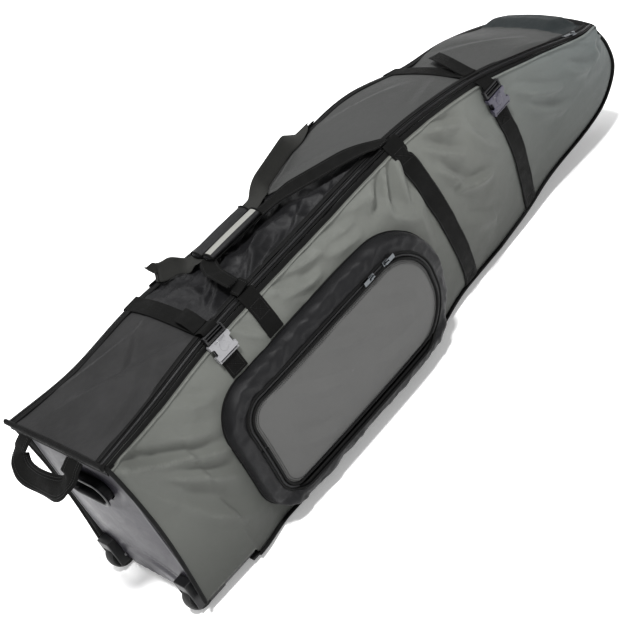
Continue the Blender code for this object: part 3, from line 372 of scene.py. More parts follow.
def lid_swell(s, y):
    """How far the lid's cloth stands above its smooth line; its middle part has sunk."""
    s, y = np.broadcast_arrays(np.asarray(s, float), np.asarray(y, float))
    soft = ramp(s - SOFT_FROM, 0.03) * ramp(upper_edge(y) - s, 0.02)
    swell = folds(s, y, LID_FOLDS) * (0.80 + 0.70 * soft)
    swell = swell - 0.0100 * (ramp(s - 0.32, 0.07) * ramp(upper_edge(y) - s, 0.05))
    swell = swell + soft * (0.0080 * creases(s, y, 13.0, 2.4) - 0.0030)
    swell = swell + soft * 0.0026 * creases(s, y, 34.0, 9.1)
    swell = swell + 0.0030 * speckle(s, y, 8.0, 1.7)
    swell = swell + 0.0080 * dip(s - 1.175, 0.060) - 0.0050 * squeeze(s)
    swell = swell + 0.0150 * step(s, 1.275, 1.325) * step(y, -0.085, -0.050)
    edge = ramp(zip_half(s) - LID_INSET - np.abs(y), 0.010)
    edge = edge * ramp(LID_END - LID_INSET - s, 0.010)
    return swell * edge * ramp(s - OPENING_FROM, 0.02)


def lid_points(s, y, lift=0.0):
    s, y = np.broadcast_arrays(np.asarray(s, float), np.asarray(y, float))
    x, z = lid_base(s, np.clip(y / zip_half(s), -1, 1))
    return xyz(x, y, z + lid_swell(s, y) + lift)


# ---------------------------------------------------------------- mesh building


def show(name, verts, faces, materials, body, stands_for=(), uv=None,
         face_material=None, smooth=True, sharp=None):
    """A piece made of these vertices and faces, riding on a CAD body."""
    mesh = bpy.data.meshes.new(name)
    mesh.from_pydata([tuple(p) for p in verts], [], [tuple(f) for f in faces])
    for material in materials:
        mesh.materials.append(material)
    if face_material is not None:
        mesh.polygons.foreach_set("material_index", np.asarray(face_material, np.int32))
    if uv is not None:
        mesh.uv_layers.new(name="cloth")
        set_uv(mesh, uv)
    if smooth:
        mesh.shade_smooth()
    if sharp:
        mesh.set_sharp_from_angle(angle=math.radians(sharp))
    mesh.validate()
    return finish_piece(mesh, body, stands_for)


def set_uv(mesh, uv):
    """Gives every corner of the mesh the UV of its vertex."""
    loops = np.empty(len(mesh.loops), np.int32)
    mesh.loops.foreach_get("vertex_index", loops)
    values = np.asarray(uv, np.float32)[loops].ravel()
    mesh.uv_layers["cloth"].data.foreach_set("uv", values)


def in_scene(name, data):
    obj = bpy.data.objects.new(name, data)
    bpy.context.scene.collection.objects.link(obj)
    return obj


def finish_piece(mesh, body, stands_for):
    obj = in_scene(mesh.name, mesh)
    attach(obj, body)
    if stands_for:
        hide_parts(*stands_for)
    return obj


def lengths(line):
    """The distance along a line at each of its points."""
    return np.concatenate([[0], np.cumsum(np.linalg.norm(np.diff(line, axis=0), axis=1))])


def read(at, along, values):
    """Rows of three values read at distances along their line."""
    return np.stack([np.interp(at, along, values[:, k]) for k in range(3)], -1)


def faced(verts, faces, out):
    """The faces, all turned over if the first one looks away from `out`."""
    a, b, c = (verts[k] for k in faces[0][:3])
    return faces[:, ::-1] if np.dot(np.cross(b - a, c - a), out) < 0 else faces


def grid_normals(points, towards):
    n = np.cross(np.gradient(points, axis=0), np.gradient(points, axis=1))
    n /= np.linalg.norm(n, axis=-1, keepdims=True) + 1e-12
    flip = np.sign((n * np.asarray(towards)).sum(-1, keepdims=True))
    return n * np.where(flip == 0, 1, flip)


def grid_lengths(points):
    """UV in metres: along each row and along each column of a grid."""
    across = np.linalg.norm(np.diff(points, axis=1), axis=-1).mean(0)
    along = np.linalg.norm(np.diff(points, axis=0), axis=-1).mean(1)
    u, v = (np.concatenate([[0], np.cumsum(run)]) for run in (along, across))
    return np.stack(np.meshgrid(u, v, indexing="ij"), -1).reshape(-1, 2)


def solid_between(outer, inner, loop=False):
    """Vertices, faces and whether a face is inner, of the solid between two grids. With
    loop its rows join end to end."""
    rows, cols = outer.shape[:2]
    verts = np.concatenate([outer.reshape(-1, 3), inner.reshape(-1, 3)])
    base = rows * cols
    index = np.arange(base).reshape(rows, cols)
    here = index if loop else index[:-1]
    there = np.roll(index, -1, 0) if loop else index[1:]
    faces = np.stack([here[:, :-1], there[:, :-1], there[:, 1:], here[:, 1:]], -1).reshape(-1, 4)
    inner_faces = faces[:, ::-1] + base
    sides = []
    for column in (0, cols - 1):
        a, b = here[:, column], there[:, column]
        quad = np.stack([a, a + base, b + base, b], -1)
        sides.append(quad if column == 0 else quad[:, ::-1])
    if not loop:
        for row in (0, rows - 1):
            a, b = index[row, :-1], index[row, 1:]
            quad = np.stack([a, b, b + base, a + base], -1)
            sides.append(quad if row == 0 else quad[:, ::-1])
    edge = np.concatenate(sides)
    kind = np.concatenate([np.zeros(len(faces)), np.ones(len(inner_faces)), np.zeros(len(edge))])
    return verts, np.concatenate([faces, inner_faces, edge]), kind


def panel(name, points, towards, depth, outside, body, stands_for, lining=None,
          face_kind=None, loop=False):
    """Cloth of some thickness behind a grid of points, with a lining on its back."""
    normals = grid_normals(points, towards)
    verts, faces, kind = solid_between(points, points - normals * depth, loop)
    uv = grid_lengths(points)
    chosen = np.where(kind == 0, 0, len(outside))
    if face_kind is not None:
        chosen[:len(face_kind)] = face_kind
    faces = faced(verts, faces, normals.reshape(-1, 3)[faces[0][0]])
    return show(name, verts, faces, [*outside, lining or LINING], body, stands_for,
                uv=np.concatenate([uv, uv]), face_material=chosen)


def spline(points, pitch=0.003):
    """A smooth line through points, sampled about every pitch metres."""
    p = np.array([list(q) for q in points], float)
    ext = np.vstack([2 * p[0] - p[1], p, 2 * p[-1] - p[-2]])
    out = []
    for i in range(len(p) - 1):
        a, b, c, d = ext[i : i + 4]
        count = max(2, int(np.linalg.norm(c - b) / pitch))
        t = (np.arange(count) / count)[:, None]
        out.append(0.5 * (2 * b + (c - a) * t + (2 * a - 5 * b + 4 * c - d) * t**2
                          + (3 * b - a - 3 * c + d) * t**3))
    return np.vstack([np.vstack(out), p[-1:]])


def even(line, pitch=0.003):
    """The line sampled again at equal distances."""
    d = lengths(line)
    return read(np.linspace(0, d[-1], max(2, int(round(d[-1] / pitch)) + 1)), d, line)


def unit(v):
    return v / (np.linalg.norm(v, axis=-1, keepdims=True) + 1e-12)


def web(name, line, normals, width, body="case", stands_for=(), thick=0.0022, curl=0.0,
        across=None, material=None):
    """Woven webbing along a line, its upper face turned to the normals, with rounded edges."""
    line = np.asarray(line)
    normals = unit(np.broadcast_to(np.asarray(normals, float), line.shape))
    if across is None:
        across = np.cross(np.gradient(line, axis=0), normals)
    across = unit(np.broadcast_to(np.asarray(across, float), line.shape))
    share = np.array([-1.0, -0.94, -0.8, -0.4, 0.0, 0.4, 0.8, 0.94, 1.0])
    half = thick / 2 * np.array([0.30, 0.85, 1, 1, 1, 1, 1, 0.85, 0.30])
    grid = line[:, None] + across[:, None] * (share * width / 2)[None, :, None]
    grid = grid + normals[:, None] * (curl * share**2)[None, :, None]
    rise = normals[:, None] * half[None, :, None]
    verts, faces, _ = solid_between(grid + rise, grid - rise)
    faces = faced(verts, faces, normals[0])
    uv = grid_lengths(grid)
    return show(name, verts, faces, [material or WEBBING], body, stands_for,
                uv=np.concatenate([uv, uv]), sharp=50)


def tape(name, line, normals, width, body="case", stands_for=(), thick=0.0012, curl=0.0):
    """Black binding tape along a line."""
    web(name, line, normals, width, body, stands_for, thick, curl, None, BINDING)


def rope(name, line, radius, sides, body="case", stands_for=(), material=None,
         flat=1.0, up=UP):
    """A round or oval cord along a line, closed at both ends."""
    line = np.asarray(line)
    run = unit(np.gradient(line, axis=0))
    side = unit(np.cross(run, up))
    up = np.cross(side, run)
    a = np.linspace(0, 2 * math.pi, sides, endpoint=False)
    ring = side[:, None] * np.cos(a)[None, :, None] + up[:, None] * np.sin(a)[None, :, None] * flat
    verts = (line[:, None] + ring * radius).reshape(-1, 3)
    n = len(line)
    index = np.arange(n * sides).reshape(n, sides)
    nxt = np.roll(index, -1, 1)
    faces = np.stack([index[:-1], nxt[:-1], nxt[1:], index[1:]], -1).reshape(-1, 4)[:, ::-1]
    caps = [index[0].tolist(), index[-1][::-1].tolist()]
    uv = np.stack([np.repeat(np.arange(n) * 0.004, sides), np.tile(a * radius, n)], -1)
    return show(name, verts, faces.tolist() + caps, [material or BINDING], body, stands_for,
                uv=uv)


class Pile:
    """Many small shapes gathered into one piece."""

    def __init__(self):
        self.verts, self.faces, self.count = [], [], 0

    def add(self, verts, faces):
        self.verts.append(np.asarray(verts, float))
        self.faces.extend([[k + self.count for k in face] for face in faces])
        self.count += len(verts)

    def brick(self, centre, along, across, out, sizes, pinch=0.8):
        """A small block whose outer face is a little narrower than its foot."""
        x, y, z = (np.asarray(d, float) * half for d, half in zip((along, across, out), sizes))
        corners = []
        for k in (-1, 1):
            f = pinch if k > 0 else 1.0
            for i, j in ((-1, -1), (1, -1), (1, 1), (-1, 1)):
                corners.append(centre + x * i * f + y * j * f + z * k)
        self.add(corners, ((3, 2, 1, 0), (4, 5, 6, 7), (0, 1, 5, 4), (1, 2, 6, 5),
                           (2, 3, 7, 6), (3, 0, 4, 7)))

    def show(self, name, material, body, slot="webbing"):
        show(name, np.vstack(self.verts), self.faces, [material], body, (), smooth=False)


def stitches(pile, line, normals, pitch=0.0042, long=0.0030, wide=0.00045):
    """A row of thread stitches along a line on cloth."""
    line = np.asarray(line)
    normals = unit(np.broadcast_to(np.asarray(normals, float), line.shape))
    d = lengths(line)
    for at in np.arange(pitch / 2, d[-1] - pitch / 2, pitch):
        place, out = read(at, d, line), unit(read(at, d, normals))
        run = unit(read(at + long / 2, d, line) - place + 1e-9)
        pile.brick(place + out * 0.0002, run, np.cross(out, run), out,
                   (long / 2, wide, 0.00035), 0.6)


def zip_coil(name, line, out, offset, phase, body):
    """One side's row of zip teeth, offset to one side of a line; `out` is the way they face."""
    pitch, long, wide, tall = 0.0023, 0.0016, 0.0016, 0.0009
    pile, line = Pile(), even(line, 0.002)
    d, run = lengths(line), unit(np.gradient(line, axis=0))
    at = np.arange(pitch * (0.5 + phase), d[-1], pitch)
    for p, a in zip(read(at, d, line), unit(read(at, d, run))):
        side = unit(np.cross(out, a))
        up = np.cross(a, side)
        pile.brick(p + side * offset + up * 0.0007, a, side, up, (long / 2, wide, tall), 0.7)
    pile.show(name, COIL, body, "black_cloth")


# ---------------------------------------------------------------- materials


def rgba(colour):
    return (*colour, 1.0) if isinstance(colour, tuple) else colour


def shade(colour, by, plus=0.0):
    return tuple(min(1.0, c * by + plus) for c in colour)


class Nodes:
    """A small helper to lay out a material's nodes."""

    def __init__(self, name, roughness, metallic=0.0, **sockets):
        self.material = bpy.data.materials.new(name)
        self.material.use_nodes = True
        self.tree = self.material.node_tree
        self.shader = self.tree.nodes["Principled BSDF"]
        for key, value in {"Roughness": roughness, "Metallic": metallic, **sockets}.items():
            self.put(self.shader.inputs[key.replace("_", " ")], value)
        self.place = self.add("TexCoord", {}).outputs["Object"]

    def add(self, kind, inputs, **settings):
        """A new node with its settings, and what each of its sockets is given."""
        node = self.tree.nodes.new("ShaderNode" + kind)
        for key, value in settings.items():
            setattr(node, key, value)
        for key, value in inputs.items():
            self.put(node.inputs[key], value)
        return node

    def put(self, socket, value):
        if isinstance(value, bpy.types.NodeSocket):
            self.tree.links.new(value, socket)
        elif value is not None:
            socket.default_value = value

    def noise(self, scale, detail=3.0, rough=0.5, distortion=0.0):
        return self.add("TexNoise", {
            "Vector": self.place, "Scale": scale, "Detail": detail, "Roughness": rough,
            "Distortion": distortion}).outputs["Fac"]

    def math(self, operation, a, b=0.0):
        return self.add("Math", {0: a, 1: b}, operation=operation).outputs[0]

    def times(self, a, b):
        return self.math("MULTIPLY", a, b)

    def plus(self, a, b):
        return self.math("ADD", a, b)

    def span(self, value, low, high, to_low=0.0, to_high=1.0):
        return self.add("MapRange", {
            "Value": value, "From Min": low, "From Max": high, "To Min": to_low,
            "To Max": to_high}).outputs["Result"]

    def mix(self, share, a, b):
        return self.add("Mix", {0: share, 6: rgba(a), 7: rgba(b)}, data_type="RGBA").outputs[2]

    def split(self, vector):
        return tuple(self.add("SeparateXYZ", {0: vector}).outputs)

    def cloth_uv(self):
        return self.split(self.add("UVMap", {}, uv_map="cloth").outputs["UV"])[:2]

    def wave(self, value, pitch):
        """A wave from 0 to 1 that repeats every pitch metres."""
        return self.span(self.math("SINE", self.times(value, 2 * math.pi / pitch)), -1, 1)

    def bump(self, height, distance, strength, after=None):
        return self.add("Bump", {"Distance": distance, "Strength": strength, "Height": height,
                                 "Normal": after}).outputs["Normal"]

    def done(self, colour, roughness=None, normal=None):
        for key, value in (("Base Color", rgba(colour)), ("Roughness", roughness),
                           ("Normal", normal)):
            self.put(self.shader.inputs[key], value)
        return self.material


def woven(name, base, light, pitch=0.0009, sheen=0.03, rough=(0.55, 0.75), depth=0.00010,
          blotch=0.16, wear=True, gloss=0.25, painted_shade=0.0, patches=5.5):
    """Woven cloth: crossing threads, uneven dye, faint slubs and rubbed high places; when asked,
    shade painted into the colour, darker towards the bottom and the wheeled end.
    """
    n = Nodes(name, rough[0], Sheen_Weight=sheen, Sheen_Roughness=0.45, Specular_IOR_Level=gloss)
    u, v = n.cloth_uv()
    over = n.math("ABSOLUTE", n.math("SUBTRACT", n.wave(u, pitch), n.wave(v, pitch)))
    slub, fine = n.noise(420.0, 2.0), n.noise(70.0, 4.0, 0.6)
    cloud = n.noise(patches, 4.0, 0.55)
    crumple = n.bump(n.noise(38.0, 5.0, 0.62, distortion=0.6), 0.0020, 0.36)
    normal = n.bump(n.plus(over, n.times(slub, 0.8)), depth, 0.55, crumple)
    tone = n.plus(n.times(n.span(cloud, 0.3, 0.7), 0.6), n.times(fine, 0.4))
    colour = n.mix(tone, shade(base, 1 - blotch), shade(base, 1 + blotch))
    colour = n.mix(n.times(over, 0.22), colour, light)
    # Painted shade: darker towards the bottom and towards the wheeled end; the colour is also
    # tinted cooler towards the nose.
    if painted_shade:
        x, _, z = n.split(n.place)
        cool = n.times(n.span(x, 0.25, 0.65), 0.6)
        colour = n.mix(cool, colour, (base[0] * 0.84, base[1] * 0.97, base[2] * 1.10))
        # painted shade: these two masks darken the cloth towards the bottom and towards the wheeled
        # end, where shade falls
        low = n.times(n.span(z, 0.32, 0.02), painted_shade)
        end = n.times(n.span(x, -0.45, -0.68), painted_shade * 0.45)
        colour = n.mix(n.math("MAXIMUM", low, end), colour, shade(base, 0.40))
    if wear:
        sharp = n.add("NewGeometry", {}).outputs["Pointiness"]
        rubbed = n.times(n.span(sharp, 0.515, 0.56), n.span(fine, 0.4, 0.65))
        colour = n.mix(n.times(rubbed, 0.35), colour, light)
    roughness = n.span(n.plus(fine, n.times(over, 0.3)), 0.3, 1.0, *rough)
    return n.done(colour, roughness, normal)


def webbed(name, base, light, rib=0.0016):
    """Flat webbing: lengthwise ribs crossed by its weft."""
    n = Nodes(name, 0.7, Sheen_Weight=0.02, Sheen_Roughness=0.5, Specular_IOR_Level=0.12)
    u, v = n.cloth_uv()
    chevron = n.plus(u, n.times(n.wave(v, rib * 4), rib * 0.8))
    height = n.plus(n.times(n.wave(v, rib), 0.6), n.times(n.wave(chevron, rib * 0.9), 0.7))
    fuzz, fine = n.noise(500.0, 2.0), n.noise(60.0, 4.0, 0.6)
    colour = n.mix(n.times(n.plus(height, fuzz), 0.42), base, light)
    colour = n.mix(n.times(n.span(fine, 0.45, 0.75), 0.25), colour, light)
    normal = n.bump(n.plus(height, n.times(fuzz, 0.6)), 0.00030, 0.6)
    return n.done(colour, n.span(fine, 0.3, 0.7, 0.62, 0.82), normal)


def moulded(name, base, rough, grain=900.0, depth=0.00005, mottled=0.12, scuffs=0.25, coat=0.0,
            gloss=0.5):
    """Moulded plastic: a fine spark-eroded grain, slight cloudiness and scuffs."""
    n = Nodes(name, rough[0], Coat_Weight=coat, Coat_Roughness=0.25, Specular_IOR_Level=gloss)
    marks = n.noise(24.0, 6.0, 0.7, distortion=1.4)
    colour = n.mix(n.noise(9.0, 4.0), shade(base, 1 - mottled), shade(base, 1 + mottled))
    scuffed = n.times(n.span(marks, 0.62, 0.72), scuffs)
    colour = n.mix(scuffed, colour, shade(base, 1.5, 0.02))
    normal = n.bump(n.noise(grain, 2.0), depth, 0.5)
    return n.done(colour, n.span(marks, 0.35, 0.75, *rough), normal)


def metal(name, base, rough):
    """Cast and tumbled metal: tiny pits and uneven polish."""
    n = Nodes(name, rough[0], 1.0)
    cloud = n.noise(60.0, 4.0, 0.6)
    colour = n.mix(cloud, shade(base, 0.8), base)
    normal = n.bump(n.noise(700.0, 3.0), 0.00005, 0.5)
    return n.done(colour, n.span(cloud, 0.3, 0.7, *rough), normal)


# The grey cloth has shade painted in, darker towards its bottom and its wheeled end.
GREY = woven("grey polyester", (0.140, 0.145, 0.134), (0.20, 0.205, 0.19), depth=0.00008,
             blotch=0.09, painted_shade=0.92)
POCKET_GREY = woven("pocket polyester", (0.098, 0.098, 0.096), (0.15, 0.15, 0.15),
                    depth=0.00008, blotch=0.08)
CHARCOAL = woven("charcoal polyester", (0.0160, 0.0158, 0.0162), (0.036, 0.036, 0.037),
                 blotch=0.62, gloss=0.35, patches=12.0)
LID_GREY = woven("lid polyester", (0.056, 0.057, 0.056), (0.10, 0.10, 0.10), blotch=0.08)
NYLON = woven("black nylon", (0.0070, 0.0070, 0.0080), (0.023, 0.023, 0.025), pitch=0.0007,
              sheen=0.04, rough=(0.44, 0.62), blotch=0.2, gloss=0.32)
LINING = woven("lining", (0.030, 0.030, 0.031), (0.055, 0.055, 0.055), pitch=0.0012, wear=False)
WEBBING = webbed("black webbing", (0.0030, 0.0030, 0.0030), (0.0105, 0.0105, 0.0100))
# A lighter copy of the black webbing: painted light, standing for the far handle's webbing lit from
# above.
LIT_WEBBING = webbed("webbing with painted light", (0.022, 0.022, 0.021), (0.052, 0.052, 0.049))
# A pale stripe for the grip's Velcro edge, lightened as a painted highlight along the top of the
# grip.
VELCRO_HIGHLIGHT_STRIPE = webbed("velcro stripe with painted highlight", (0.24, 0.24, 0.225), (0.36, 0.36, 0.34), rib=0.0011)
BINDING = woven("binding tape", (0.006, 0.006, 0.006), (0.018, 0.018, 0.018), pitch=0.0008,
                wear=False, gloss=0.15)
THREAD = moulded("thread", (0.022, 0.022, 0.022), (0.6, 0.8), scuffs=0.0)
COIL = moulded("zip coil", (0.013, 0.013, 0.014), (0.30, 0.45), scuffs=0.1)
SHELL = moulded("shell plastic", (0.033, 0.031, 0.039), (0.34, 0.44), depth=0.00001,
                scuffs=0.04, gloss=0.22)
BLACK_PLASTIC = moulded("black plastic", (0.010, 0.010, 0.011), (0.32, 0.50), scuffs=0.12)
GREY_BUCKLE = moulded("grey buckle plastic", (0.26, 0.26, 0.27), (0.26, 0.40), scuffs=0.12,
                      coat=0.2)
PURPLE_BUCKLE = moulded("dark buckle plastic", (0.050, 0.047, 0.068), (0.26, 0.40), coat=0.2)
TYRE = moulded("tyre", (0.012, 0.012, 0.012), (0.50, 0.72), grain=300.0, depth=0.0001, scuffs=0.4)
BOARD = moulded("board", (0.025, 0.025, 0.026), (0.5, 0.7), grain=400.0)
SILVER = metal("silver pull metal", (0.17, 0.18, 0.19), (0.34, 0.50))
STEEL = metal("steel", (0.50, 0.50, 0.51), (0.28, 0.42))
TEAL = woven("nose polyester", (0.016, 0.020, 0.021), (0.04, 0.047, 0.050), blotch=0.12)

# ---------------------------------------------------------------- sides, bottom and nose


def build_sides():
    """Both sides' cloth, bound along its top and its wheeled end."""
    bound = 0.968
    for (side, word), columns, rows in zip(SIDES, (320, 220), (84, 50)):
        s, v = np.linspace(OPENING_FROM, LID_END, columns), np.linspace(0, 1, rows)
        inset = 0.0095 * np.sin(math.pi * v[None, :]) * (1 - step(s[:, None], 0.0, 0.12))
        points, _ = side_points(s[:, None] + inset, v[None, :], side)
        kind = np.zeros((columns - 1, rows - 1), int)
        kind[:, v[:-1] > bound] = 1
        panel(f"{word}_side_cloth", points, (0, side, 0), BODY_THICK, [GREY, BINDING], "case",
              [f"side_panel_{word}"], face_kind=kind.ravel())
        line, _ = side_points(np.linspace(0.010, LID_END - 0.004, 260), bound - 0.002, side,
                              0.0008)
        rope(f"{word}_top_welt", line, 0.0022, 8, material=GREY)
        v = np.linspace(0.0, 1.0, 60)
        line, _ = side_points(0.0065 + 0.0095 * np.sin(math.pi * v), v, side, 0.0010)
        rope(f"{word}_end_binding", line, 0.0040, 10, up=AHEAD)


def build_bottom():
    s = np.linspace(0.124, FLAT_TO - 0.001, 120)[:, None]
    v = np.linspace(-1, 1, 40)[None, :]
    dent = 0.0015 * (0.5 + 0.5 * speckle(s, v * 0.1, 16.0, 8.0)) * ramp(1 - np.abs(v), 0.1)
    low = xyz(s - HALF_LENGTH, base_half(s) * v, bottom_height(s) + dent)
    panel("bottom_cloth", low, DOWN, BOTTOM_THICK, [NYLON], "case", ["bottom_panel"])
    q = np.linspace(0.0005, 1, 90)[:, None]
    station, height, half = nose_line(q)
    inward_x, inward_z = nose_inward(q)
    bulge = NOSE_BULGE * (1 - v * v) * q * q
    soft = 0.002 * speckle(q, v * 0.3, 7.0, 4.4) * (1 - v * v)
    points = xyz(station - HALF_LENGTH + bulge - inward_x * soft, half * v,
                 height - inward_z * soft)
    panel("nose_cloth", points, (0.6, 0, -0.8), BOTTOM_THICK, [NYLON], "case",
          ["nose_panel"])


def edge_line(count):
    """The line along the near bottom edge and up over the nose, on the near side."""
    s = np.linspace(CLOTH_FROM, LID_END, count)
    station, height, half = nose_line(nose_share(s))
    inward_x, inward_z = nose_inward(nose_share(s))
    nose = s > FLAT_TO
    r = 0.0042  # distance of the piping's middle from the edge
    x = np.where(nose, station + inward_x * r, s) - HALF_LENGTH
    y = -np.where(nose, half, base_half(s)) - r
    return xyz(x, y, np.where(nose, height + inward_z * r, bottom_height(s) + r))


def build_piping():
    line = edge_line(300)
    for side, word in SIDES:
        rope(f"{word}_edge_piping", line * np.array([1, -side, 1]), 0.0030, 8,
             stands_for=[f"piping_{word}"], up=(0, 1.0, 0))


# ---------------------------------------------------------------- lid and main zip


def build_lid():
    """The lid's cloth in four parts: plain, soft middle, stiffer upper panel and nose."""
    plain, soft, top = 80, 90, 190
    end = LID_END - LID_INSET
    v = np.linspace(-1, 1, 110)
    seam = upper_edge(v * EDGE_ACROSS)[None, :]
    s_low = np.repeat(np.linspace(OPENING_FROM, SOFT_FROM, plain)[:, None], len(v), 1)
    s_mid = SOFT_FROM + (seam - SOFT_FROM) * np.linspace(0, 1, soft)[1:, None]
    s_top = s_mid[-1] + (end - s_mid[-1]) * np.linspace(0, 1, top)[1:, None]
    s = np.concatenate([s_low, s_mid, s_top])
    points = lid_points(s, (zip_half(s) - LID_INSET) * v[None, :])
    centre = (s[:-1] + s[1:]) / 2
    centre = (centre[:, :-1] + centre[:, 1:]) / 2
    kind = np.zeros(centre.shape, int)
    kind[plain - 1:] = 1
    kind[plain + soft - 2:] = 2
    kind[centre > NOSE_CLOTH_FROM] = 3
    panel("lid_cloth", points, UP, BODY_THICK, [CHARCOAL, NYLON, LID_GREY, TEAL], "lid",
          ["lid_panel"], face_kind=kind.ravel())
    y = np.linspace(-1, 1, 90)
    s = upper_edge(y * EDGE_ACROSS)
    half = zip_half(s) - LID_INSET - 0.012
    rope("upper_panel_fold", lid_points(s + 0.004, half * y, 0.0015), 0.0042, 8, "lid",
         material=LID_GREY, flat=0.5)


def opening_line(inset):
    """The zip's line round the lid's opening, at an inset from the body's edge."""
    end = LID_END - inset
    s = np.linspace(OPENING_FROM, end, 300)
    half = zip_half(s) - inset
    x, z = lid_base(s, half / zip_half(s))
    near = xyz(x, -half, z)
    v = np.linspace(-0.97, 0.97, 30)
    half = zip_half(end) - inset
    x, z = lid_base(end, v * half / zip_half(end))
    far = near[::-1] * np.array([1, -1, 1])
    return even(np.concatenate([near, xyz(x, half * v, z), far]), 0.004)


def build_main_zip():
    middle = TAPE + TAPE_SLOT / 2
    for body, inset, wide, drop, thick, offset, phase in (
        ("body", middle / 2, TAPE, 0.0018, 0.0034, 0.0009, 0.0),
        ("lid", middle * 1.5 + 0.0015, TAPE + 0.0030, 0.0008, 0.0012, -0.0009, 0.5),
    ):
        rides = "case" if body == "body" else body
        tape(f"{body}_zip_tape", opening_line(inset) - (0, 0, drop), UP, wide, rides,
             [f"zip_tape_{body}"], thick)
        zip_coil(f"{body}_zip_coil", opening_line(middle), UP, offset, phase, rides)
    tape("lid_zip_binding", opening_line(LID_INSET + 0.0058) + (0, 0, 0.0012), UP, 0.0115,
         "lid", (), 0.0014, -0.0006)
    threads = Pile()
    for inset in (LID_INSET + 0.0022, LID_INSET + 0.0098):
        stitches(threads, opening_line(inset) + (0, 0, 0.0020), UP)
    threads.show("lid_zip_stitching", THREAD, "lid")


def build_lip():
    """The bound lip where the lid folds, with the tapes that close its joints inside."""
    y = np.linspace(-0.1555, 0.1555, 120)
    line = xyz(0.0015 - HALF_LENGTH, y, 0.3850 + 0.0008 * speckle(y, 0.0, 30.0, 6.0))
    rope("lip_roll", line, 0.0046, 12, stands_for=["lip_binding"], flat=1.35)
    facing = line + (0.0012, 0, -0.0100)
    tape("lip_facing", facing, BACK, 0.0200, thick=0.0024)
    tape("lip_shelf_tape", line + (0.0095, 0, -0.0112), UP, 0.0190)
    for side, word in SIDES:
        inner, _ = side_points(0.021, np.linspace(0.02, 0.99, 60), side, -0.0036)
        tape(f"{word}_corner_tape", inner - (0, side * 0.0072, 0), AHEAD, 0.0160)
    threads = Pile()
    stitches(threads, line + (-0.0047, 0, 0.002), BACK)
    stitches(threads, facing + (-0.0014, 0, -0.0065), BACK)
    threads.show("lip_stitching", THREAD, "case")


# ---------------------------------------------------------------- moulded end and wheels


GRIP_Y, GRIP_Z = -0.020, 0.285
GRIP_HALF_LONG, GRIP_HALF_TALL = 0.060, 0.022
WALL_HALF, WALL_LOW, WALL_HIGH = 0.143, 0.0173, 0.3717
NOTCH_FROM, NOTCH_HIGH = 0.103, 0.0756
WHEEL_X, WHEEL_Y, WHEEL_RADIUS, WHEEL_WIDTH = -0.684, 0.122, 0.030, 0.024


def end_wall_x(y, z):
    across = 1 - (y / SHELL_HALF_WIDTH) ** 2
    up = 1 - np.clip(np.abs(z - 0.195) / 0.18, 0, 1) ** 2.4
    return 0.018 - HALF_LENGTH - 0.014 * np.clip(across, 0, None) * np.clip(up, 0, None)


def oval(turn, long_half, tall_half):
    flat = long_half - tall_half
    c, s = np.cos(turn), np.sin(turn)
    return np.where(c > 0, flat, -flat) + tall_half * c, tall_half * s


def wall_relief(y, z):
    """The moulded wall's own shapes: a dish round the grip, a raised foot and an edge bead."""
    dish = step(1.35 - np.hypot((y - GRIP_Y) / 0.075, (z - GRIP_Z) / 0.036), 0, 0.35)
    foot = step(1.0 - np.hypot(y / 0.092, (z - 0.010) / 0.088), 0, 0.10)
    rib = step(1.0 - np.abs(np.hypot(y / 0.092, (z - 0.010) / 0.088) - 1.13) / 0.035, 0, 0.6)
    side = step(np.abs(y), WALL_HALF - 0.010, WALL_HALF - 0.005)
    grooves = step(0.5 + 0.5 * np.cos(y * 2 * math.pi / 0.020), 0.6, 0.9)
    grooves = grooves * step(0.9 - np.hypot(y / 0.075, (z - 0.020) / 0.060), 0, 0.2)
    return 0.0022 * dish - 0.0040 * foot - 0.0018 * rib - 0.0020 * side + 0.0012 * grooves


def wall_outline():
    """Points round the wall's rim, seen from the grip hole's middle, with the wheel notches."""
    half = [(WALL_HALF, WALL_HIGH), (WALL_HALF, NOTCH_HIGH), (NOTCH_FROM, NOTCH_HIGH),
            (NOTCH_FROM, WALL_LOW)]
    corners = [(-y, z) for y, z in half] + half[::-1]
    loop = np.array(corners + corners[:1]) - (GRIP_Y, GRIP_Z)
    pieces = []
    for a, b in zip(loop[:-1], loop[1:]):
        steps = max(1, int(np.linalg.norm(b - a) / 0.006))
        pieces.append(a + (b - a) * (np.arange(steps) / steps)[:, None])
    return np.concatenate(pieces)


def build_end_wall():
    rim = wall_outline()
    turn = np.unwrap(np.arctan2(rim[:, 1], rim[:, 0]))
    oy, oz = oval(turn, GRIP_HALF_LONG + 0.0006, GRIP_HALF_TALL + 0.0006)
    share = np.linspace(0, 1, 46)[None, :]
    y = GRIP_Y + oy[:, None] * (1 - share) + rim[:, :1] * share
    z = GRIP_Z + oz[:, None] * (1 - share) + rim[:, 1:] * share
    x = end_wall_x(y, z) + wall_relief(y, z) + 0.0008
    panel("end_wall_moulding", xyz(x, y, z), BACK, 0.0035, [SHELL], "case", ["end_shell"],
          lining=SHELL, loop=True)
    y, z = rim[:, 0] + GRIP_Y, rim[:, 1] + GRIP_Z
    top = xyz(end_wall_x(y, z) + 0.0010, y, z)[z > 0.3716]
    rope("wall_top_bead", top[np.argsort(top[:, 1])], 0.0030, 8, material=SHELL)


def loft(name, profile, x_from, x_to, count, thick):
    """A bent sheet: one profile in Y and Z carried along X, thickened inwards and up."""
    p = np.array(profile, float)
    points = xyz(np.linspace(x_from, x_to, count)[:, None], p[:, 0], p[:, 1])
    tangent = unit(np.gradient(p, axis=0))
    inward = np.stack([-tangent[:, 1], tangent[:, 0]], -1)
    inner = points.copy()
    inner[..., 1:] += inward * thick
    verts, faces, _ = solid_between(points, inner)
    faces = faced(verts, faces, np.array([0, -inward[0, 0], -inward[0, 1]]))
    show(name, verts, faces, [BLACK_PLASTIC], "case", (), sharp=40)


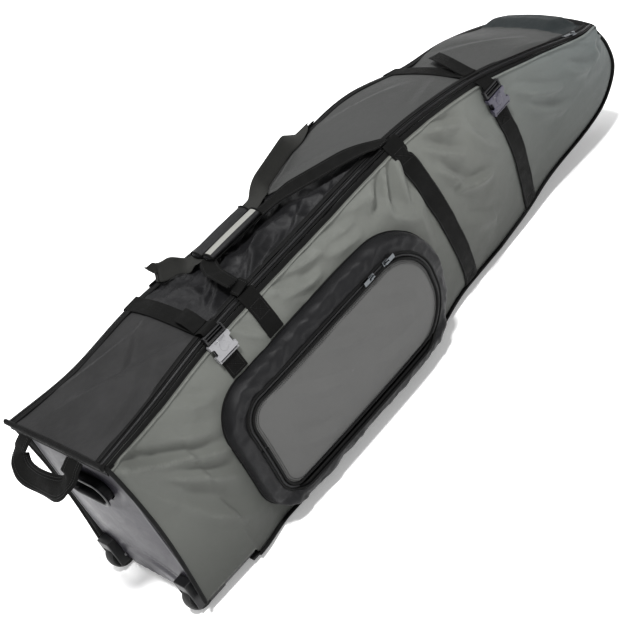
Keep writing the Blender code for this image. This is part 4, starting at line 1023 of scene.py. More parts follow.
def build_tray():
    """The moulded end's bottom: a shallow tray with rounded edges that meets the cloth."""
    turn = np.linspace(0, math.pi / 2, 9)
    half, low, high, r = SHELL_HALF_WIDTH, 0.016, SHELL_SIDE_TOP, 0.011
    left = [(-half + r - r * math.cos(a), low + r - r * math.sin(a)) for a in turn]
    right = [(-y, z) for y, z in reversed(left)]
    middle = [(y, low) for y in np.linspace(-0.12, 0.12, 13)]
    profile = [(-half, high), *left, *middle, *right, (half, high)]
    loft("tray_moulding", profile, -0.6435, -0.5650, 12, 0.004)
    front = (-0.6815, -0.6436, 6)
    flat = [(y, low) for y in np.linspace(-0.1028, 0.1028, 12)]
    loft("tray_front_moulding", flat, *front, 0.004)
    for side, word in SIDES:
        line = xyz(np.linspace(-0.6790, -0.5660, 30), side * 0.1488, high - 0.001)
        rope(f"tray_{word}_bead", line, 0.0034, 8, material=BLACK_PLASTIC)
        line = xyz(np.linspace(-0.6810, -0.5500, 30), side * 0.1462, 0.0350)
        tape(f"tray_{word}_tape", line, (0, -side, 0), 0.034)
        corner = [(side * (half - 0.0005), z) for z in np.linspace(high, low + 0.004, 6)]
        loft(f"tray_{word}_corner", corner if side == NEAR else corner[::-1], *front,
             0.0035)


def build_grip_cup():
    """A deep oval cup with a rolled rim and finger ribs on its upper wall."""
    around, base = 96, -0.700 - 0.0030
    turn = np.linspace(0, 2 * math.pi, around, endpoint=False)
    # how far each ring grows past the grip's oval, and its depth
    rows = (
        (0.0046, 0.0000), (0.0046, -0.0014), (0.0034, -0.0024), (0.0016, -0.0027),
        (0.0002, -0.0022), (-0.0012, -0.0008), (-0.0020, 0.002), (-0.0026, 0.010),
        (-0.0032, 0.022), (-0.0046, 0.0275), (-0.0080, 0.0300), (-0.0140, 0.0306),
        (-0.0200, 0.0306),
    )
    grid = []
    for grow, depth in rows:
        y, z = oval(turn, GRIP_HALF_LONG + grow, max(GRIP_HALF_TALL + grow, 0.0012))
        rib = 0.0008 * (1 + np.cos(turn * 24)) * (0.002 < depth < 0.028)
        grid.append(xyz(base + depth, GRIP_Y + y, GRIP_Z + z - rib * np.sign(np.sin(turn))))
    index = np.arange(around * len(rows)).reshape(around, len(rows))
    nxt = np.roll(index, -1, 0)
    faces = np.stack([index[:, :-1], index[:, 1:], nxt[:, 1:], nxt[:, :-1]], -1)
    faces = faces.reshape(-1, 4).tolist() + [index[:, -1].tolist()]
    obj = show("grip_cup_moulding", np.stack(grid, 1).reshape(-1, 3), faces, [BLACK_PLASTIC],
               "case", ["grip_cup"], sharp=45)
    thick = obj.modifiers.new("thickness", "SOLIDIFY")
    thick.thickness = 0.0018
    thick.offset = 0.0


def turned(name, profile, centre, segments, body, stands_for=(), material=None):
    """A piece turned about Y, from a closed section of (radius, y)."""
    a = np.linspace(0, 2 * math.pi, segments, endpoint=False)[:, None]
    p = np.array(profile)
    grid = xyz(np.cos(a) * p[:, 0], p[:, 1], np.sin(a) * p[:, 0]) + np.array(centre)
    index = np.arange(segments * len(p)).reshape(segments, len(p))
    right, above = np.roll(index, -1, 0), np.roll(index, -1, 1)
    faces = np.stack([index, right, np.roll(right, -1, 1), above], -1).reshape(-1, 4)
    show(name, grid.reshape(-1, 3), faces, [material or BLACK_PLASTIC], body, stands_for,
         sharp=35)


def build_wheels():
    for side, word in SIDES:
        centre = (WHEEL_X, side * WHEEL_Y, WHEEL_RADIUS)
        half, body, shoulder = WHEEL_WIDTH / 2, f"wheel_{word}", 0.0065
        section = [(0.0192, -half + 0.002)]
        for a in np.linspace(-80, 80, 15):
            out = shoulder * math.cos(math.radians(a)) ** 0.6
            section.append((WHEEL_RADIUS - shoulder + out,
                            half * math.sin(math.radians(a)) * 0.98))
        section += [(0.0192, half - 0.002), (0.0188, 0.0)]
        turned(f"{word}_tyre_ring", section, centre, 72, body, [f"tyre_{word}"], TYRE)
        rim = [(0.0190, -0.0092), (0.0190, 0.0092), (0.0172, 0.0098), (0.0160, 0.0070),
               (0.0160, -0.0070), (0.0172, -0.0098)]
        turned(f"{word}_hub_rim", rim, centre, 48, body, [f"hub_{word}"])
        boss = [(0.0113, -0.0085), (0.0128, -0.0085), (0.0140, -0.0060), (0.0140, 0.0060),
                (0.0128, 0.0085), (0.0113, 0.0085)]
        turned(f"{word}_hub_boss", boss, centre, 40, body)
        spokes = Pile()
        for a in np.radians(60 * np.arange(6) + 15):
            out = np.array([math.cos(a), 0, math.sin(a)])
            across = np.array([-math.sin(a), 0, math.cos(a)])
            spokes.brick(np.array(centre) + out * 0.0148, out, across, (0, side, 0),
                         (0.0026, 0.0024, 0.0062))
        spokes.show(f"{word}_hub_spokes", BLACK_PLASTIC, body, "black_plastic")
        repaint(BLACK_PLASTIC, f"wheel_housing_{word}")
        repaint(STEEL, f"axle_{word}", f"bearing_{word}")


def repaint(material, *nodes):
    """Gives CAD nodes that stay as they are a finished material."""
    for node in nodes:
        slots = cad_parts[node].data.materials
        slots.clear()
        slots.append(material)


# ---------------------------------------------------------------- side pocket

POCKET_FROM, POCKET_TO, POCKET_LOW, POCKET_HIGH = 0.206, 0.758, 0.022, 0.310
POCKET_STAND, POCKET_SEAT = 0.034, 0.0016
NOSE_END_RADIUS, WHEEL_END_RADIUS = 0.130, 0.085
FLAP_INSET, FLAP_GAP, FLAP_FOOT_GAP = 0.034, 0.0016, 0.006


def outline(inset):
    """The pocket's outline as stations and heights, rounder at its nose end."""
    low, high = POCKET_LOW + inset, POCKET_HIGH - inset
    first, last = POCKET_FROM + inset, POCKET_TO - inset
    nose, wheel = NOSE_END_RADIUS - inset, WHEEL_END_RADIUS - inset
    corners = (
        (last - nose, low + nose, nose, -90), (last - nose, high - nose, nose, 0),
        (first + wheel, high - wheel, wheel, 90), (first + wheel, low + wheel, wheel, 180),
    )
    runs = []
    for k, (cs, cz, radius, start) in enumerate(corners):
        a = np.radians(start + np.linspace(0, 90, 40))
        arc = np.stack([cs + radius * np.cos(a), cz + radius * np.sin(a)], -1)
        ns, nz, next_radius, next_start = corners[(k + 1) % 4]
        b = math.radians(next_start)
        to = np.array([ns + next_radius * math.cos(b), nz + next_radius * math.sin(b)])
        steps = 80 if k in (1, 3) else 18
        share = (np.arange(1, steps) / steps)[:, None]
        runs += [arc, arc[-1] + (to - arc[-1]) * share]
    return np.concatenate(runs)


def surface_y(s, z):
    """Y of the near side's undisturbed face at a station and height."""
    foot = side_base(s, np.zeros_like(s))[..., 2]
    top = zip_height(s) - TAPE_THICK - SEAM
    v = np.clip((z - foot) / (top - foot), 0, 1)
    return side_base(s, v)[..., 1]


def pocket_y(s, z):
    """Y of the pocket's own face, which stands off the side and sags near its foot."""
    ds = 2 * (s - POCKET_FROM) / (POCKET_TO - POCKET_FROM) - 1
    dz = 2 * (z - POCKET_LOW) / (POCKET_HIGH - POCKET_LOW) - 1
    dome = np.clip(1 - np.abs(ds) ** 3, 0, None) * np.clip(1 - np.abs(dz) ** 3, 0, None)
    sag = 0.011 * step(0.068 - z, 0.0, 0.016) * step(z, 0.018, 0.040)
    return surface_y(s, z) - POCKET_STAND * (0.72 + 0.28 * dome) - sag


def closed(ring, more=1):
    """A ring's points with its first ones again at its end."""
    return np.concatenate([ring, ring[:more]])


def on_face(line, lift=0.0):
    """Points on the pocket's face, or off it by a lift, from stations and heights."""
    y = pocket_y(line[:, 0], line[:, 1]) - lift
    return xyz(line[:, 0] - HALF_LENGTH, y, line[:, 1])


def build_gusset():
    """The pocket's crumpled surround, from its seam on the side up to the zip."""
    rows, count = [], 22
    length = lengths(closed(outline(0.01)))[:-1]
    for k in range(count):
        r = k / (count - 1)
        rise = math.sin(min(1.0, r / 0.50) * math.pi / 2) ** 0.8
        inset = 0.010 * (1 - math.cos(min(1.0, r / 0.50) * math.pi / 2))
        inset += (FLAP_INSET - 0.010) * step(r, 0.34, 1.0)
        s, z = outline(inset).T
        foot = surface_y(s, z) - POCKET_SEAT
        puff = math.sin(math.pi * min(1.0, r * 1.02)) ** 0.8
        radial = speckle(length, r * 0.020, 38.0, 2.2)
        broad = speckle(length, r * 0.05, 14.0, 7.7)
        fine = speckle(length, r * 0.045, 90.0, 5.1)
        swell = (0.0004 + 0.0030 * radial + 0.0026 * broad + 0.0014 * fine) * puff
        swell = swell + 0.0030 * puff * creases(length, r * 0.10, 26.0, 4.1)
        y = foot + (pocket_y(s, z) - foot) * rise - swell
        rows.append(xyz(s - HALF_LENGTH, y, z))
    points = np.stack(rows, 1)
    panel("pocket_surround", points, OFF_NEAR, 0.0020, [NYLON], "case", ["pocket_gusset"],
          loop=True)
    foot = points[:, 0] - np.array([0, 0.0006, 0])
    rope("pocket_foot_seam", closed(foot, 2), 0.0022, 7)
    edge = on_face(outline(FLAP_INSET - 0.0012), 0.0016)
    rope("pocket_rim_roll", closed(edge, 2), 0.0024, 8)


def build_pocket_zip():
    band = np.stack([on_face(outline(FLAP_INSET + inset)) for inset in (SEAM, TAPE)], 1)
    panel("pocket_zip_band", band, OFF_NEAR, 0.0012, [BINDING], "case", ["pocket_zip_tape"],
          lining=BINDING, loop=True)
    # the coil leaves out the flap's fold along the foot
    foot = POCKET_LOW + FLAP_INSET + TAPE + FLAP_GAP + FLAP_FOOT_GAP
    line = on_face(outline(FLAP_INSET + TAPE * 0.6), 0.0002)
    keep = np.roll(line, -int(np.argmin(line[:, 2])) - 60, 0)
    keep = keep[keep[:, 2] > foot - 0.004]
    start = int(np.argmax(np.linalg.norm(np.diff(keep, axis=0), axis=1)))
    keep = np.roll(keep, -start - 1, 0)
    zip_coil("pocket_outer_coil", keep, OFF_NEAR, -0.0009, 0.0, "case")
    zip_coil("pocket_inner_coil", keep, OFF_NEAR, 0.0009, 0.5, "flap")


def flap_outline(extra=0.0):
    """The flap's outline, straight along its foot, at an extra inset."""
    inset = FLAP_INSET + TAPE + FLAP_GAP
    line = outline(inset + extra)
    foot = POCKET_LOW + inset + FLAP_FOOT_GAP
    line[:, 1] = np.maximum(line[:, 1], foot)
    return line


# Folds of the flap: station and height of each end, half width, height
FLAP_FOLDS = (
    ((0.330, 0.235), (0.470, 0.150), 0.013, 0.0026),
    ((0.420, 0.250), (0.560, 0.190), 0.011, 0.0024),
    ((0.500, 0.240), (0.640, 0.150), 0.014, 0.0026),
    ((0.580, 0.250), (0.660, 0.200), 0.009, 0.0022),
    ((0.290, 0.150), (0.400, 0.090), 0.014, 0.0024),
    ((0.520, 0.130), (0.650, 0.110), 0.014, 0.0022),
)


def build_flap():
    edge = flap_outline()
    middle = edge.mean(0)
    share = 1 - np.linspace(0, 1, 54) ** 0.9 * 0.9995
    grid = middle + (edge[:, None] - middle) * share[None, :, None]
    s, z = grid[..., 0], grid[..., 1]
    swell = 1.5 * folds(s, z, FLAP_FOLDS) + 0.0024 * speckle(s, z, 9.0, 5.2)
    swell = (0.0016 + swell + 0.0006 * speckle(s, z, 34.0, 1.3)) * ramp(1 - share[None, :], 0.12)
    points = xyz(s - HALF_LENGTH, pocket_y(s, z) - swell, z)
    obj = panel("pocket_front_cloth", points, OFF_NEAR, 0.0024, [POCKET_GREY], "flap",
                ["pocket_flap"], loop=True)
    uv = grid.reshape(-1, 2)
    set_uv(obj.data, np.concatenate([uv, uv]))
    roll = on_face(flap_outline(0.0022), 0.0014)
    rope("pocket_front_binding", closed(roll, 2), 0.0030, 8, "flap")
    threads = Pile()
    for extra in (0.0075, 0.0110):
        stitches(threads, on_face(flap_outline(extra), 0.0020), OFF_NEAR)
    threads.show("pocket_front_stitching", THREAD, "flap")


# ---------------------------------------------------------------- straps and handles

WEBBING_WIDE = 0.038
HANDLE_LOW, HANDLE_HIGH, HANDLE_LEAN, FAR_HANDLE_LOW = 0.400, 0.803, 0.045, 0.372
GRIP_FROM, GRIP_TO = 0.425, 0.570
NEAR_GRIP_Y, FAR_GRIP_Y = 0.012, 0.048


def along_side(station, v_from, v_to, side, lean):
    """A strap's line down a side: points, the way out of the cloth, the way across."""
    v = np.linspace(v_from, v_to, max(6, int(abs(v_to - v_from) * SIDE_TALL / 0.004)))
    s = station + lean * (1 - v)
    points, out = side_points(s, v, side, 0.0026)
    ahead, _ = side_points(s + 0.010, v, side, 0.0026)
    behind, _ = side_points(s - 0.010, v, side, 0.0026)
    return points, out, ahead - behind


def box_stitch(pile, points, out, across, at, long, wide=0.028, lift=0.0012):
    """A sewn box with a cross in it, on webbing, at a distance along its line."""
    d = lengths(points)

    def spot(distance, side):
        n = unit(read(distance, d, out))
        a = unit(read(distance, d, across))
        return read(distance, d, points) + a * side * wide / 2 + n * lift, n

    low, right, high, left = (at, -1), (at + long, -1), (at + long, 1), (at, 1)
    for (d0, s0), (d1, s1) in ((low, right), (right, high), (high, left), (left, low),
                               (low, high), (right, left), (low, high), (right, left)):
        row = [spot(d0 + (d1 - d0) * t, s0 + (s1 - s0) * t) for t in np.linspace(0, 1, 9)]
        stitches(pile, *zip(*row), 0.0036, 0.0026, 0.0004)


def build_side_straps(pile):
    for name, node, station, low, high, side, lean in (
        ("near_lower", "lower_strap_near", LOWER_STRAP, 0.800, 0.950, NEAR, 0.0),
        ("far_lower", "lower_strap_far", LOWER_STRAP, 0.010, 0.975, FAR, 0.0),
        ("near_upper", "upper_strap_near", UPPER_STRAP, 0.010, 0.850, NEAR, 0.0),
        ("far_upper", "upper_strap_far", UPPER_STRAP, 0.010, 0.975, FAR, 0.0),
        ("near_handle_low", "near_handle_strap_low", HANDLE_LOW, 0.800, 0.985, NEAR, 0.0),
        ("near_handle_high", "near_handle_strap_high", HANDLE_HIGH, 0.010, 0.985, NEAR,
         HANDLE_LEAN),
        ("far_handle_low", "far_handle_strap_low", FAR_HANDLE_LOW, 0.010, 0.985, FAR, 0.0),
        ("far_handle_high", "far_handle_strap_high", HANDLE_HIGH, 0.010, 0.985, FAR,
         HANDLE_LEAN),
    ):
        points, out, across = along_side(station, low, high, side, lean)
        if high > 0.98:
            over = side * (zip_half(station) - np.array([0.001, 0.006]))
            points = np.concatenate([points, lid_points(station, over, 0.0042)])
            out = np.concatenate([out, [[0, side * 0.6, 0.8], [0, 0.0, 1.0]]])
            across = np.concatenate([across, across[-1:], across[-1:]])
        web(f"{name}_web", points, out, WEBBING_WIDE, stands_for=[node], across=across)
        length = np.linalg.norm(np.diff(points, axis=0), axis=1).sum()
        box_stitch(pile, points, out, across, length - 0.056, 0.028)
        if low < 0.1:
            box_stitch(pile, points, out, across, 0.006, 0.024)
            for wing in (-0.44, 0.44):
                line = points + unit(across) * wing * WEBBING_WIDE + out * 0.0013
                stitches(pile, line[8:-9], out[8:-9])


def buckle_frame(s, v):
    """Where a buckle sits on the near side, the way up along its strap and the way out."""
    low = bare_side(s, v)
    up = unit(bare_side(s, v + 0.12) - low)
    return low, up, outward(side_base(s + 0.015, v) - side_base(s - 0.015, v), up)


def outward(rise, run):
    out = unit(np.cross(rise, run))
    return out if out[1] < 0 else -out


def bare_side(s, v):
    """A point just off the near side's undisturbed cloth."""
    rise = side_base(s, min(1, v + 0.04)) - side_base(s, max(0, v - 0.04))
    run = side_base(s + 0.015, v) - side_base(s - 0.015, v)
    return side_base(s, v) + outward(rise, run) * 0.0016


class Kit:
    """Rounded plastic blocks placed in a buckle's own frame and joined into one piece."""

    def __init__(self, origin, up, out):
        turn = np.stack([np.cross(up, out), up, out], 1)
        self.place = Matrix.Translation(Vector(origin)) @ Matrix(turn.tolist()).to_4x4()
        self.mesh = bmesh.new()

    def block(self, low, high, bevel=0.0012, segments=3):
        part = bmesh.new()
        bmesh.ops.create_cube(part, size=1.0)
        size = Vector(high) - Vector(low)
        bmesh.ops.scale(part, vec=size, verts=part.verts)
        self.soften(part, min(bevel, min(size) * 0.45), segments)
        part.transform(self.place @ Matrix.Translation((Vector(low) + Vector(high)) / 2))
        self.take(part)

    def plate(self, corners, low, high, bevel=0.0012):
        """A plate of a given outline with rounded upper and lower edges."""
        part = bmesh.new()
        face = part.faces.new([part.verts.new((x, y, low)) for x, y in corners])
        made = bmesh.ops.extrude_face_region(part, geom=[face])
        verts = [g for g in made["geom"] if isinstance(g, bmesh.types.BMVert)]
        bmesh.ops.translate(part, vec=(0, 0, high - low), verts=verts)
        bmesh.ops.recalc_face_normals(part, faces=part.faces)
        self.soften(part, bevel, clamp_overlap=True)
        part.transform(self.place)
        self.take(part)

    def soften(self, part, offset, segments=3, **more):
        bmesh.ops.bevel(part, geom=part.edges[:], offset=offset, segments=segments,
                        profile=0.5, affect="EDGES", **more)

    def take(self, part):
        mesh = bpy.data.meshes.new("part")
        part.to_mesh(mesh)
        part.free()
        self.mesh.from_mesh(mesh)
        bpy.data.meshes.remove(mesh)

    def show(self, name, material, body, stands_for, slot):
        mesh = bpy.data.meshes.new(name)
        self.mesh.to_mesh(mesh)
        self.mesh.free()
        mesh.materials.append(material)
        mesh.shade_smooth()
        mesh.set_sharp_from_angle(angle=math.radians(40))
        finish_piece(mesh, body, stands_for)


def build_buckle(word, s, v, material, slot):
    """A side-release buckle: a sleeve with two side windows, and a plug with three prongs."""
    origin, up, out = buckle_frame(s, v)
    half, long, back, thick = 0.025, 0.040, 0.0028, 0.014
    build_sleeve(Kit(origin, up, out), half, long, back, thick).show(
        f"{word}_sleeve_body", material, "case", [f"{word}_buckle_sleeve"], slot)
    build_plug(Kit(origin, up, out), long + 0.0016, back + 0.0004, 0.0130).show(
        f"{word}_plug_body", BLACK_PLASTIC, f"{word}_plug", [f"{word}_buckle_plug"],
        "black_plastic")
    return origin, up, out


def build_sleeve(sleeve, half, long, back, thick):
    right = [(half - 0.004, 0.0065), (half, 0.0085), (half - 0.001, 0.015),
             (half - 0.0062, 0.0175), (half - 0.0062, 0.0285), (half - 0.001, 0.0315),
             (half, long - 0.002), (half - 0.003, long)]
    rim = [(-x, y) for x, y in right] + right[::-1]
    sleeve.plate(rim, thick - 0.0030, thick, 0.0010)
    sleeve.plate(rim, back, back + 0.0016, 0.0006)
    for side in (-1, 1):
        for y0, y1 in ((0.007, 0.0165), (0.0300, long - 0.0005)):
            x0, x1 = sorted((side * (half - 0.0035), side * (half - 0.0002)))
            sleeve.block((x0, y0, back + 0.0004), (x1, y1, thick - 0.0006))
        x0, x1 = sorted((side * (half - 0.0050), side * (half - 0.0010)))
        sleeve.block((x0, 0.0005, back + 0.0004), (x1, 0.0100, thick - 0.0030), 0.0014)
    sleeve.block((-half + 0.002, 0.0002, back + 0.0006),
                 (half - 0.002, 0.0042, thick - 0.0040), 0.0016)
    sleeve.block((-half + 0.004, 0.0066, back + 0.001),
                 (half - 0.004, 0.0100, thick - 0.001), 0.001)
    turn = np.linspace(0, 2 * math.pi, 20, endpoint=False)
    sleeve.plate([(0.0085 * math.cos(a), 0.0235 + 0.0095 * math.sin(a)) for a in turn],
                 thick - 0.0006, thick + 0.0007, 0.0005)
    for k in range(3):
        y = 0.0340 + 0.0018 * k
        sleeve.block((-0.012, y, thick - 0.0006), (0.012, y + 0.0009, thick + 0.0006), 0.0003, 1)
    return sleeve


def build_plug(plug, head, low, high):
    for side in (-1, 1):
        x0, x1 = sorted((side * 0.0188, side * 0.0229))
        plug.block((x0, head, low), (x1, head + 0.0160, high), 0.0015)
        arm = [(side * x, y) for x, y in (
            (0.0166, head + 0.003), (0.0150, 0.0300), (0.0158, 0.0190), (0.0176, 0.0160),
            (0.0186, 0.0185), (0.0190, 0.0270), (0.0176, 0.0335), (0.0186, head + 0.003))]
        plug.plate(arm if side > 0 else arm[::-1], 0.0058, 0.0106, 0.0006)
    for half, y0, y1, z0, z1, bevel in (
        (0.0218, head, head + 0.0046, low, high, 0.0015),
        (0.0200, head + 0.0074, head + 0.0098, low + 0.001, high - 0.0022, 0.0010),
        (0.0218, head + 0.0126, head + 0.0160, low, high - 0.0015, 0.0014),
        (0.0205, head + 0.001, head + 0.0150, low, low + 0.0036, 0.0012),
        (0.0035, 0.0170, head + 0.002, 0.0066, 0.0100, 0.0010),
    ):
        plug.block((-half, y0, z0), (half, y1, z1), bevel)
    for k in range(5):
        x = -0.014 + 0.007 * k
        plug.block((x - 0.0006, head + 0.0005, high - 0.0006),
                   (x + 0.0006, head + 0.0040, high + 0.0006), 0.0003, 1)
    return plug


def build_lid_straps():
    """The straps over the lid: buckle, webbing from it to the far edge, and loose tail."""
    for word, s, v, material, slot, skew, long, drift in (
        ("lower", LOWER_STRAP, 0.890, GREY_BUCKLE, "grey_buckle", -0.006, 0.060, 0.006),
        ("upper", UPPER_STRAP, 0.775, PURPLE_BUCKLE, "purple_buckle", 0.030, 0.125, 0.034),
    ):
        origin, up, out = build_buckle(word, s, v, material, slot)
        half = float(zip_half(s))
        fall = float((zip_height(s + 0.02) - zip_height(s - 0.02)) / 0.04)
        across, lid_up = (1.0, 0, fall), np.array([-fall, 0, 1.0])
        y = np.linspace(half - 0.001, -half + 0.022, 26)
        over = lid_points(s - skew * (y + half) / (2 * half), y, 0.0036)
        over[:, 2] += 0.0030 * dip(y + half - 0.030, 0.018)
        end = origin + up * 0.0530 + out * 0.0078
        near_end = origin + up * 0.0660 + out * 0.0060
        start = over[0] + np.array([0, 0.006, -0.006])
        line = even(spline([start, *over[::3], over[-1], near_end, end]))
        turn = step((-line[:, 1] - half + 0.040) / 0.050, 0, 1)[:, None]
        strap = web(f"{word}_strap_web", line, lid_up * (1 - turn) + out * turn,
                    WEBBING_WIDE - 0.004, stands_for=[f"{word}_strap"], across=across)
        squash_with_lid(strap)
        t = np.linspace(0, 1, 14)
        tail = lid_points(s + drift * t**1.5, -half + 0.022 + long * t, 0.0070)
        tail[:, 2] += 0.0060 * np.sin(math.pi * t) + 0.003 * t**2
        strap = web(f"{word}_tail_web", even(spline(tail)), lid_up, WEBBING_WIDE - 0.006,
                    stands_for=[f"{word}_strap_tail"], curl=0.0012, across=across)
        squash_with_lid(strap)


def squash_with_lid(piece):
    """Gives the webbing a mesh of its own."""
    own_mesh(piece)


def handle_line(side, low_s, high_s, grip_y):
    """A carry handle's line over the lid: foot, rise, grip, fall and the other foot."""
    foot_low, foot_high = side * (zip_half(low_s) - 0.002), side * (zip_half(high_s) - 0.002)
    rows = (
        (low_s, foot_low), (low_s, foot_low * 0.75 + grip_y * 0.25),
        (low_s + 0.006, foot_low * 0.4 + grip_y * 0.6),
        (GRIP_FROM - 0.002, foot_low * 0.08 + grip_y * 0.92), (GRIP_FROM + 0.010, grip_y),
        ((GRIP_FROM + GRIP_TO) / 2, grip_y), (GRIP_TO - 0.010, grip_y),
        (GRIP_TO + 0.030, grip_y * 0.9 + foot_high * 0.1),
        (GRIP_TO + 0.100, grip_y * 0.6 + foot_high * 0.4),
        (high_s - 0.050, grip_y * 0.25 + foot_high * 0.75), (high_s - 0.012, foot_high),
    )
    s, y = (np.array(column, float) for column in zip(*rows))
    _, z = lid_base(s, np.clip(y / zip_half(s), -1, 1))
    return even(spline(xyz(s - HALF_LENGTH, y, z + 0.0055)))


def rolled(across, normals, turn):
    """Both directions turned about the line they belong to."""
    c, s = np.cos(turn), np.sin(turn)
    return across * c - normals * s, normals * c + across * s


def edge_stitching(name, line, across, normals, wings, wide, body):
    threads = Pile()
    for wing in wings:
        stitches(threads, line + across * wing * wide + unit(normals) * 0.0018, normals)
    threads.show(name, THREAD, body)


def build_handle(word, side, low_s, grip_y, wide, material, tip):
    """A carry handle's webbing, lying flat at its feet and leaning by `tip` between them."""
    body = f"{word}_handle"
    line = handle_line(side, low_s, HANDLE_HIGH, grip_y)
    share = np.linspace(0, 1, len(line))
    run = unit(np.gradient(line, axis=0))
    lean = -tip * (step(share, 0.56, 0.66) * step(1 - share, 0.02, 0.16)
                   + 0.9 * step(0.20 - share, 0, 0.06))
    across = unit(np.cross(run, UP))
    ends = (step(share, 0.0, 0.05) * step(1 - share, 0.0, 0.05))[:, None]
    for foot, toward in ((slice(None, 8), -side), (slice(-8, None), side)):
        across[foot] = across[foot] * ends[foot] + np.array([toward, 0, 0]) * (1 - ends[foot])
    normals = unit(np.cross(across, run))
    normals = normals * np.where(normals[:, 2:] < 0, -1, 1)
    across = across * np.where(across[:, 1:2] < 0, -1, 1)
    across, normals = rolled(across, normals, lean[:, None])
    rise = (0.004 + 0.011 * np.abs(lean)) * step(np.abs(share - 0.36), 0.17, 0.24)
    line = line + np.array(UP) * rise[:, None]
    web(f"{word}_handle_web", line, normals, wide, body, [f"{word}_handle_webbing"], 0.0026,
        0.0015, across, material)
    edge_stitching(f"{word}_handle_stitching", line, across, normals, (-0.40, 0.40), 0.030, body)
    return build_grip(word, side, grip_y, body)


def build_grip(word, side, grip_y, body):
    """The padded wrap round a carry handle, bound at both ends."""
    low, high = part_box(f"{word}_handle_grip")
    count, around = 70, 28
    x = np.linspace(low.x + 0.001, high.x - 0.001, count)
    middle = xyz(x, grip_y, (low.z + high.z) / 2 - 0.001)
    t = np.linspace(-1, 1, count)
    plump = 1 - 0.10 * t**2 - 0.45 * ramp(np.abs(t) - 0.94, 0.06) ** 2
    plump = plump + 0.025 * speckle(t, 0.0, 6.0, 2.0 + side)
    a = np.linspace(0, 2 * math.pi, around, endpoint=False)
    round_y = np.sign(np.cos(a)) * np.abs(np.cos(a)) ** 0.8 * 0.0155
    round_z = np.sign(np.sin(a)) * np.abs(np.sin(a)) ** 0.9 * 0.0072
    sink = -0.0012 * dip(a - math.pi / 2 - 0.9, 0.12)
    grid = middle[:, None] + xyz(0.0, plump[:, None] * round_y,
                                 plump[:, None] * (round_z + sink))
    index = np.arange(count * around).reshape(count, around)
    nxt = np.roll(index, -1, 1)
    faces = np.stack([index[:-1], index[1:], nxt[1:], nxt[:-1]], -1).reshape(-1, 4).tolist()
    faces += [index[0].tolist(), index[-1][::-1].tolist()]
    uv = np.stack([np.repeat(x, around), np.tile(a * 0.012, count)], -1)
    grip = show(f"{word}_grip_wrap", grid.reshape(-1, 3), faces, [NYLON], body,
                [f"{word}_handle_grip"], uv=uv)
    b = np.linspace(0, 2 * math.pi, 40)
    for end, word_end in ((low.x + 0.004, "low"), (high.x - 0.004, "high")):
        band = xyz(end, grip_y + 0.0158 * np.cos(b), middle[0, 2] + 0.0076 * np.sin(b))
        rope(f"{word}_grip_{word_end}_binding", band, 0.0015, 6, body, up=AHEAD)
    return middle, plump


def build_handles():
    # The far handle uses the lighter webbing copy with painted light.
    build_handle("far", FAR, FAR_HANDLE_LOW, FAR_GRIP_Y, 0.036, LIT_WEBBING, 1.25)
    middle, plump = build_handle("near", NEAR, HANDLE_LOW, NEAR_GRIP_Y, 0.033, WEBBING, 0.35)
    line = (middle + xyz(0.0, 0.0, 0.0072 * plump + 0.0004))[3:-3]
    # Pale stripe on top of the near grip: the Velcro edge, with a painted highlight.
    web("grip_velcro_highlight_stripe", line, UP, 0.016, "near_handle", ["grip_wrap_stripe"], 0.0009,
        -0.0010, None, VELCRO_HIGHLIGHT_STRIPE)


def build_haul_handle():
    """A loop of webbing that stands out from the lip and droops."""
    span, centre, reach, droop = 0.080, 0.012, 0.045, 0.037
    half = ((0.0, span), (0.35, span), (0.72, span - 0.004), (1.0, span - 0.034))
    rows = [(share, -y) for share, y in half] + list(half[::-1])
    points = [(-0.7035 - reach * share, centre + y, 0.3772 - droop * share**1.5)
              for share, y in rows]
    line = even(spline(points))
    across = unit(np.cross(unit(np.gradient(line, axis=0)), UP))
    tilt = 0.95 * dip(np.linspace(-1, 1, len(line)), 0.62)[:, None]
    across, normals = rolled(across, np.array(UP), -tilt)
    web("haul_handle_web", line, normals, 0.046, "haul", ["haul_handle"], 0.0034, -0.0020,
        across)
    edge_stitching("haul_handle_stitching", line, across, normals, (-0.42, -0.30, 0.30, 0.42),
                   0.043, "haul")


def build_inside():
    s, v = np.linspace(0.162, 0.942, 80)[:, None], np.linspace(-1, 1, 24)[None, :]
    half = np.minimum(0.118, base_half(s) - 0.010)
    points = xyz(s - HALF_LENGTH, half * v, np.maximum(0.0155, bottom_height(s) + 0.0100))
    panel("base_board_sheet", points, UP, 0.0040, [BOARD], "case", ["base_board"],
          lining=BOARD)
    y = np.linspace(-0.096, 0.096, 60)
    line = xyz(0.620 - HALF_LENGTH, y, 0.0108 + 0.0012 * np.sin(y * 60) ** 2)
    web("inner_tie_web", line, UP, WEBBING_WIDE, stands_for=["inner_tie_strap"], across=AHEAD)
    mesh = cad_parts["nose_foam_pad"].data.copy()
    mesh.name = "nose_pad_cloth"
    mesh.materials.clear()
    mesh.materials.append(LINING)
    pad = finish_piece(mesh, "case", ["nose_foam_pad"])
    bevel = pad.modifiers.new("soft edges", "BEVEL")
    bevel.width, bevel.segments, bevel.angle_limit = 0.004, 3, math.radians(50)


def build_sliders():
    repaint(SILVER, "main_slider", "main_pull", "pocket_slider", "pocket_pull",
            "pocket_rear_slider", "pocket_rear_pull")


# ---------------------------------------------------------------- floor, light and camera


def toward(azimuth, height):
    """The direction at an azimuth and height in radians, seen from the case."""
    level = math.cos(height)
    return Vector((math.sin(azimuth) * level, -math.cos(azimuth) * level, math.sin(height)))


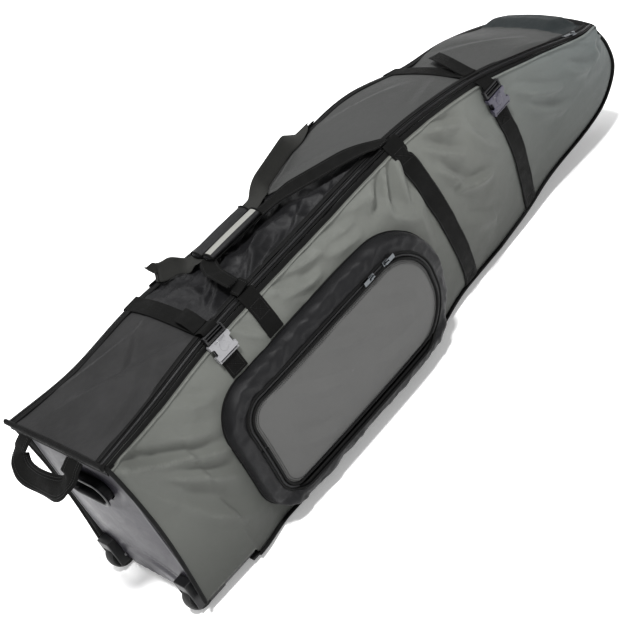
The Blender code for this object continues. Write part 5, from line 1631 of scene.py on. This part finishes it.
def build_studio():
    """A pale floor that glows like a light table, a white world and three soft suns."""
    mesh, size = bpy.data.meshes.new("floor"), 30.0
    mesh.from_pydata([(-size, -size, 0), (size, -size, 0), (size, size, 0), (-size, size, 0)],
                     [], [(0, 1, 2, 3)])
    n = Nodes("floor", 0.9, Emission_Color=(1, 1, 1, 1), Emission_Strength=0.25)
    mesh.materials.append(n.done(n.mix(n.noise(0.8, 2.0), (0.93,) * 3, (0.95,) * 3)))
    floor = in_scene("floor", mesh)
    floor.location.z = -0.0005
    world = bpy.data.worlds.new("studio")
    world.use_nodes = True
    sky = world.node_tree.nodes["Background"].inputs
    sky["Color"].default_value, sky["Strength"].default_value = (1, 1, 1, 1), 0.38
    scene = bpy.context.scene
    scene.world = world
    scene.view_settings.view_transform = "Standard"
    scene.view_settings.look = "Medium High Contrast"
    for name, azimuth, height, spread, power in (
        ("key", -14, 72, 9, 3.1), ("back", 165, 50, 30, 0.7), ("end", -125, 10, 20, 0.06),
    ):
        light = bpy.data.lights.new(name, "SUN")
        light.angle, light.energy = math.radians(spread), power
        lamp = in_scene(name, light)
        place = toward(math.radians(azimuth), math.radians(height))
        lamp.location = place * 3
        lamp.rotation_euler = place.to_track_quat("Z", "Y").to_euler()


def build_camera():
    azimuth, height, roll = (math.radians(a) for a in (-27.3, 33.8, -30.25))
    target, distance, shift = Vector((-0.14, 0.0, 0.162)), 3.028, 0.004
    back = toward(azimuth, height)
    level = Vector((0, 0, 1)).cross(back).normalized()
    upright = back.cross(level)
    right = level * math.cos(roll) + upright * math.sin(roll)
    up = -level * math.sin(roll) + upright * math.cos(roll)
    camera = bpy.data.cameras.new("camera")
    camera.lens, camera.sensor_width = 90.0, 36.0
    obj = in_scene("camera", camera)
    turn = Matrix((right, up, back)).transposed().to_4x4()
    obj.matrix_world = Matrix.Translation(target + back * distance - up * shift) @ turn
    bpy.context.scene.camera = obj


def main():
    build_camera()
    build_sides()
    build_bottom()
    build_piping()
    build_lid()
    build_main_zip()
    build_lip()
    build_end_wall()
    build_tray()
    build_grip_cup()
    build_wheels()
    build_gusset()
    build_pocket_zip()
    build_flap()
    sewing = Pile()
    build_side_straps(sewing)
    build_lid_straps()
    build_handles()
    sewing.show("side_stitching", THREAD, "case")
    build_haul_handle()
    build_inside()
    build_sliders()
    build_studio()


main()
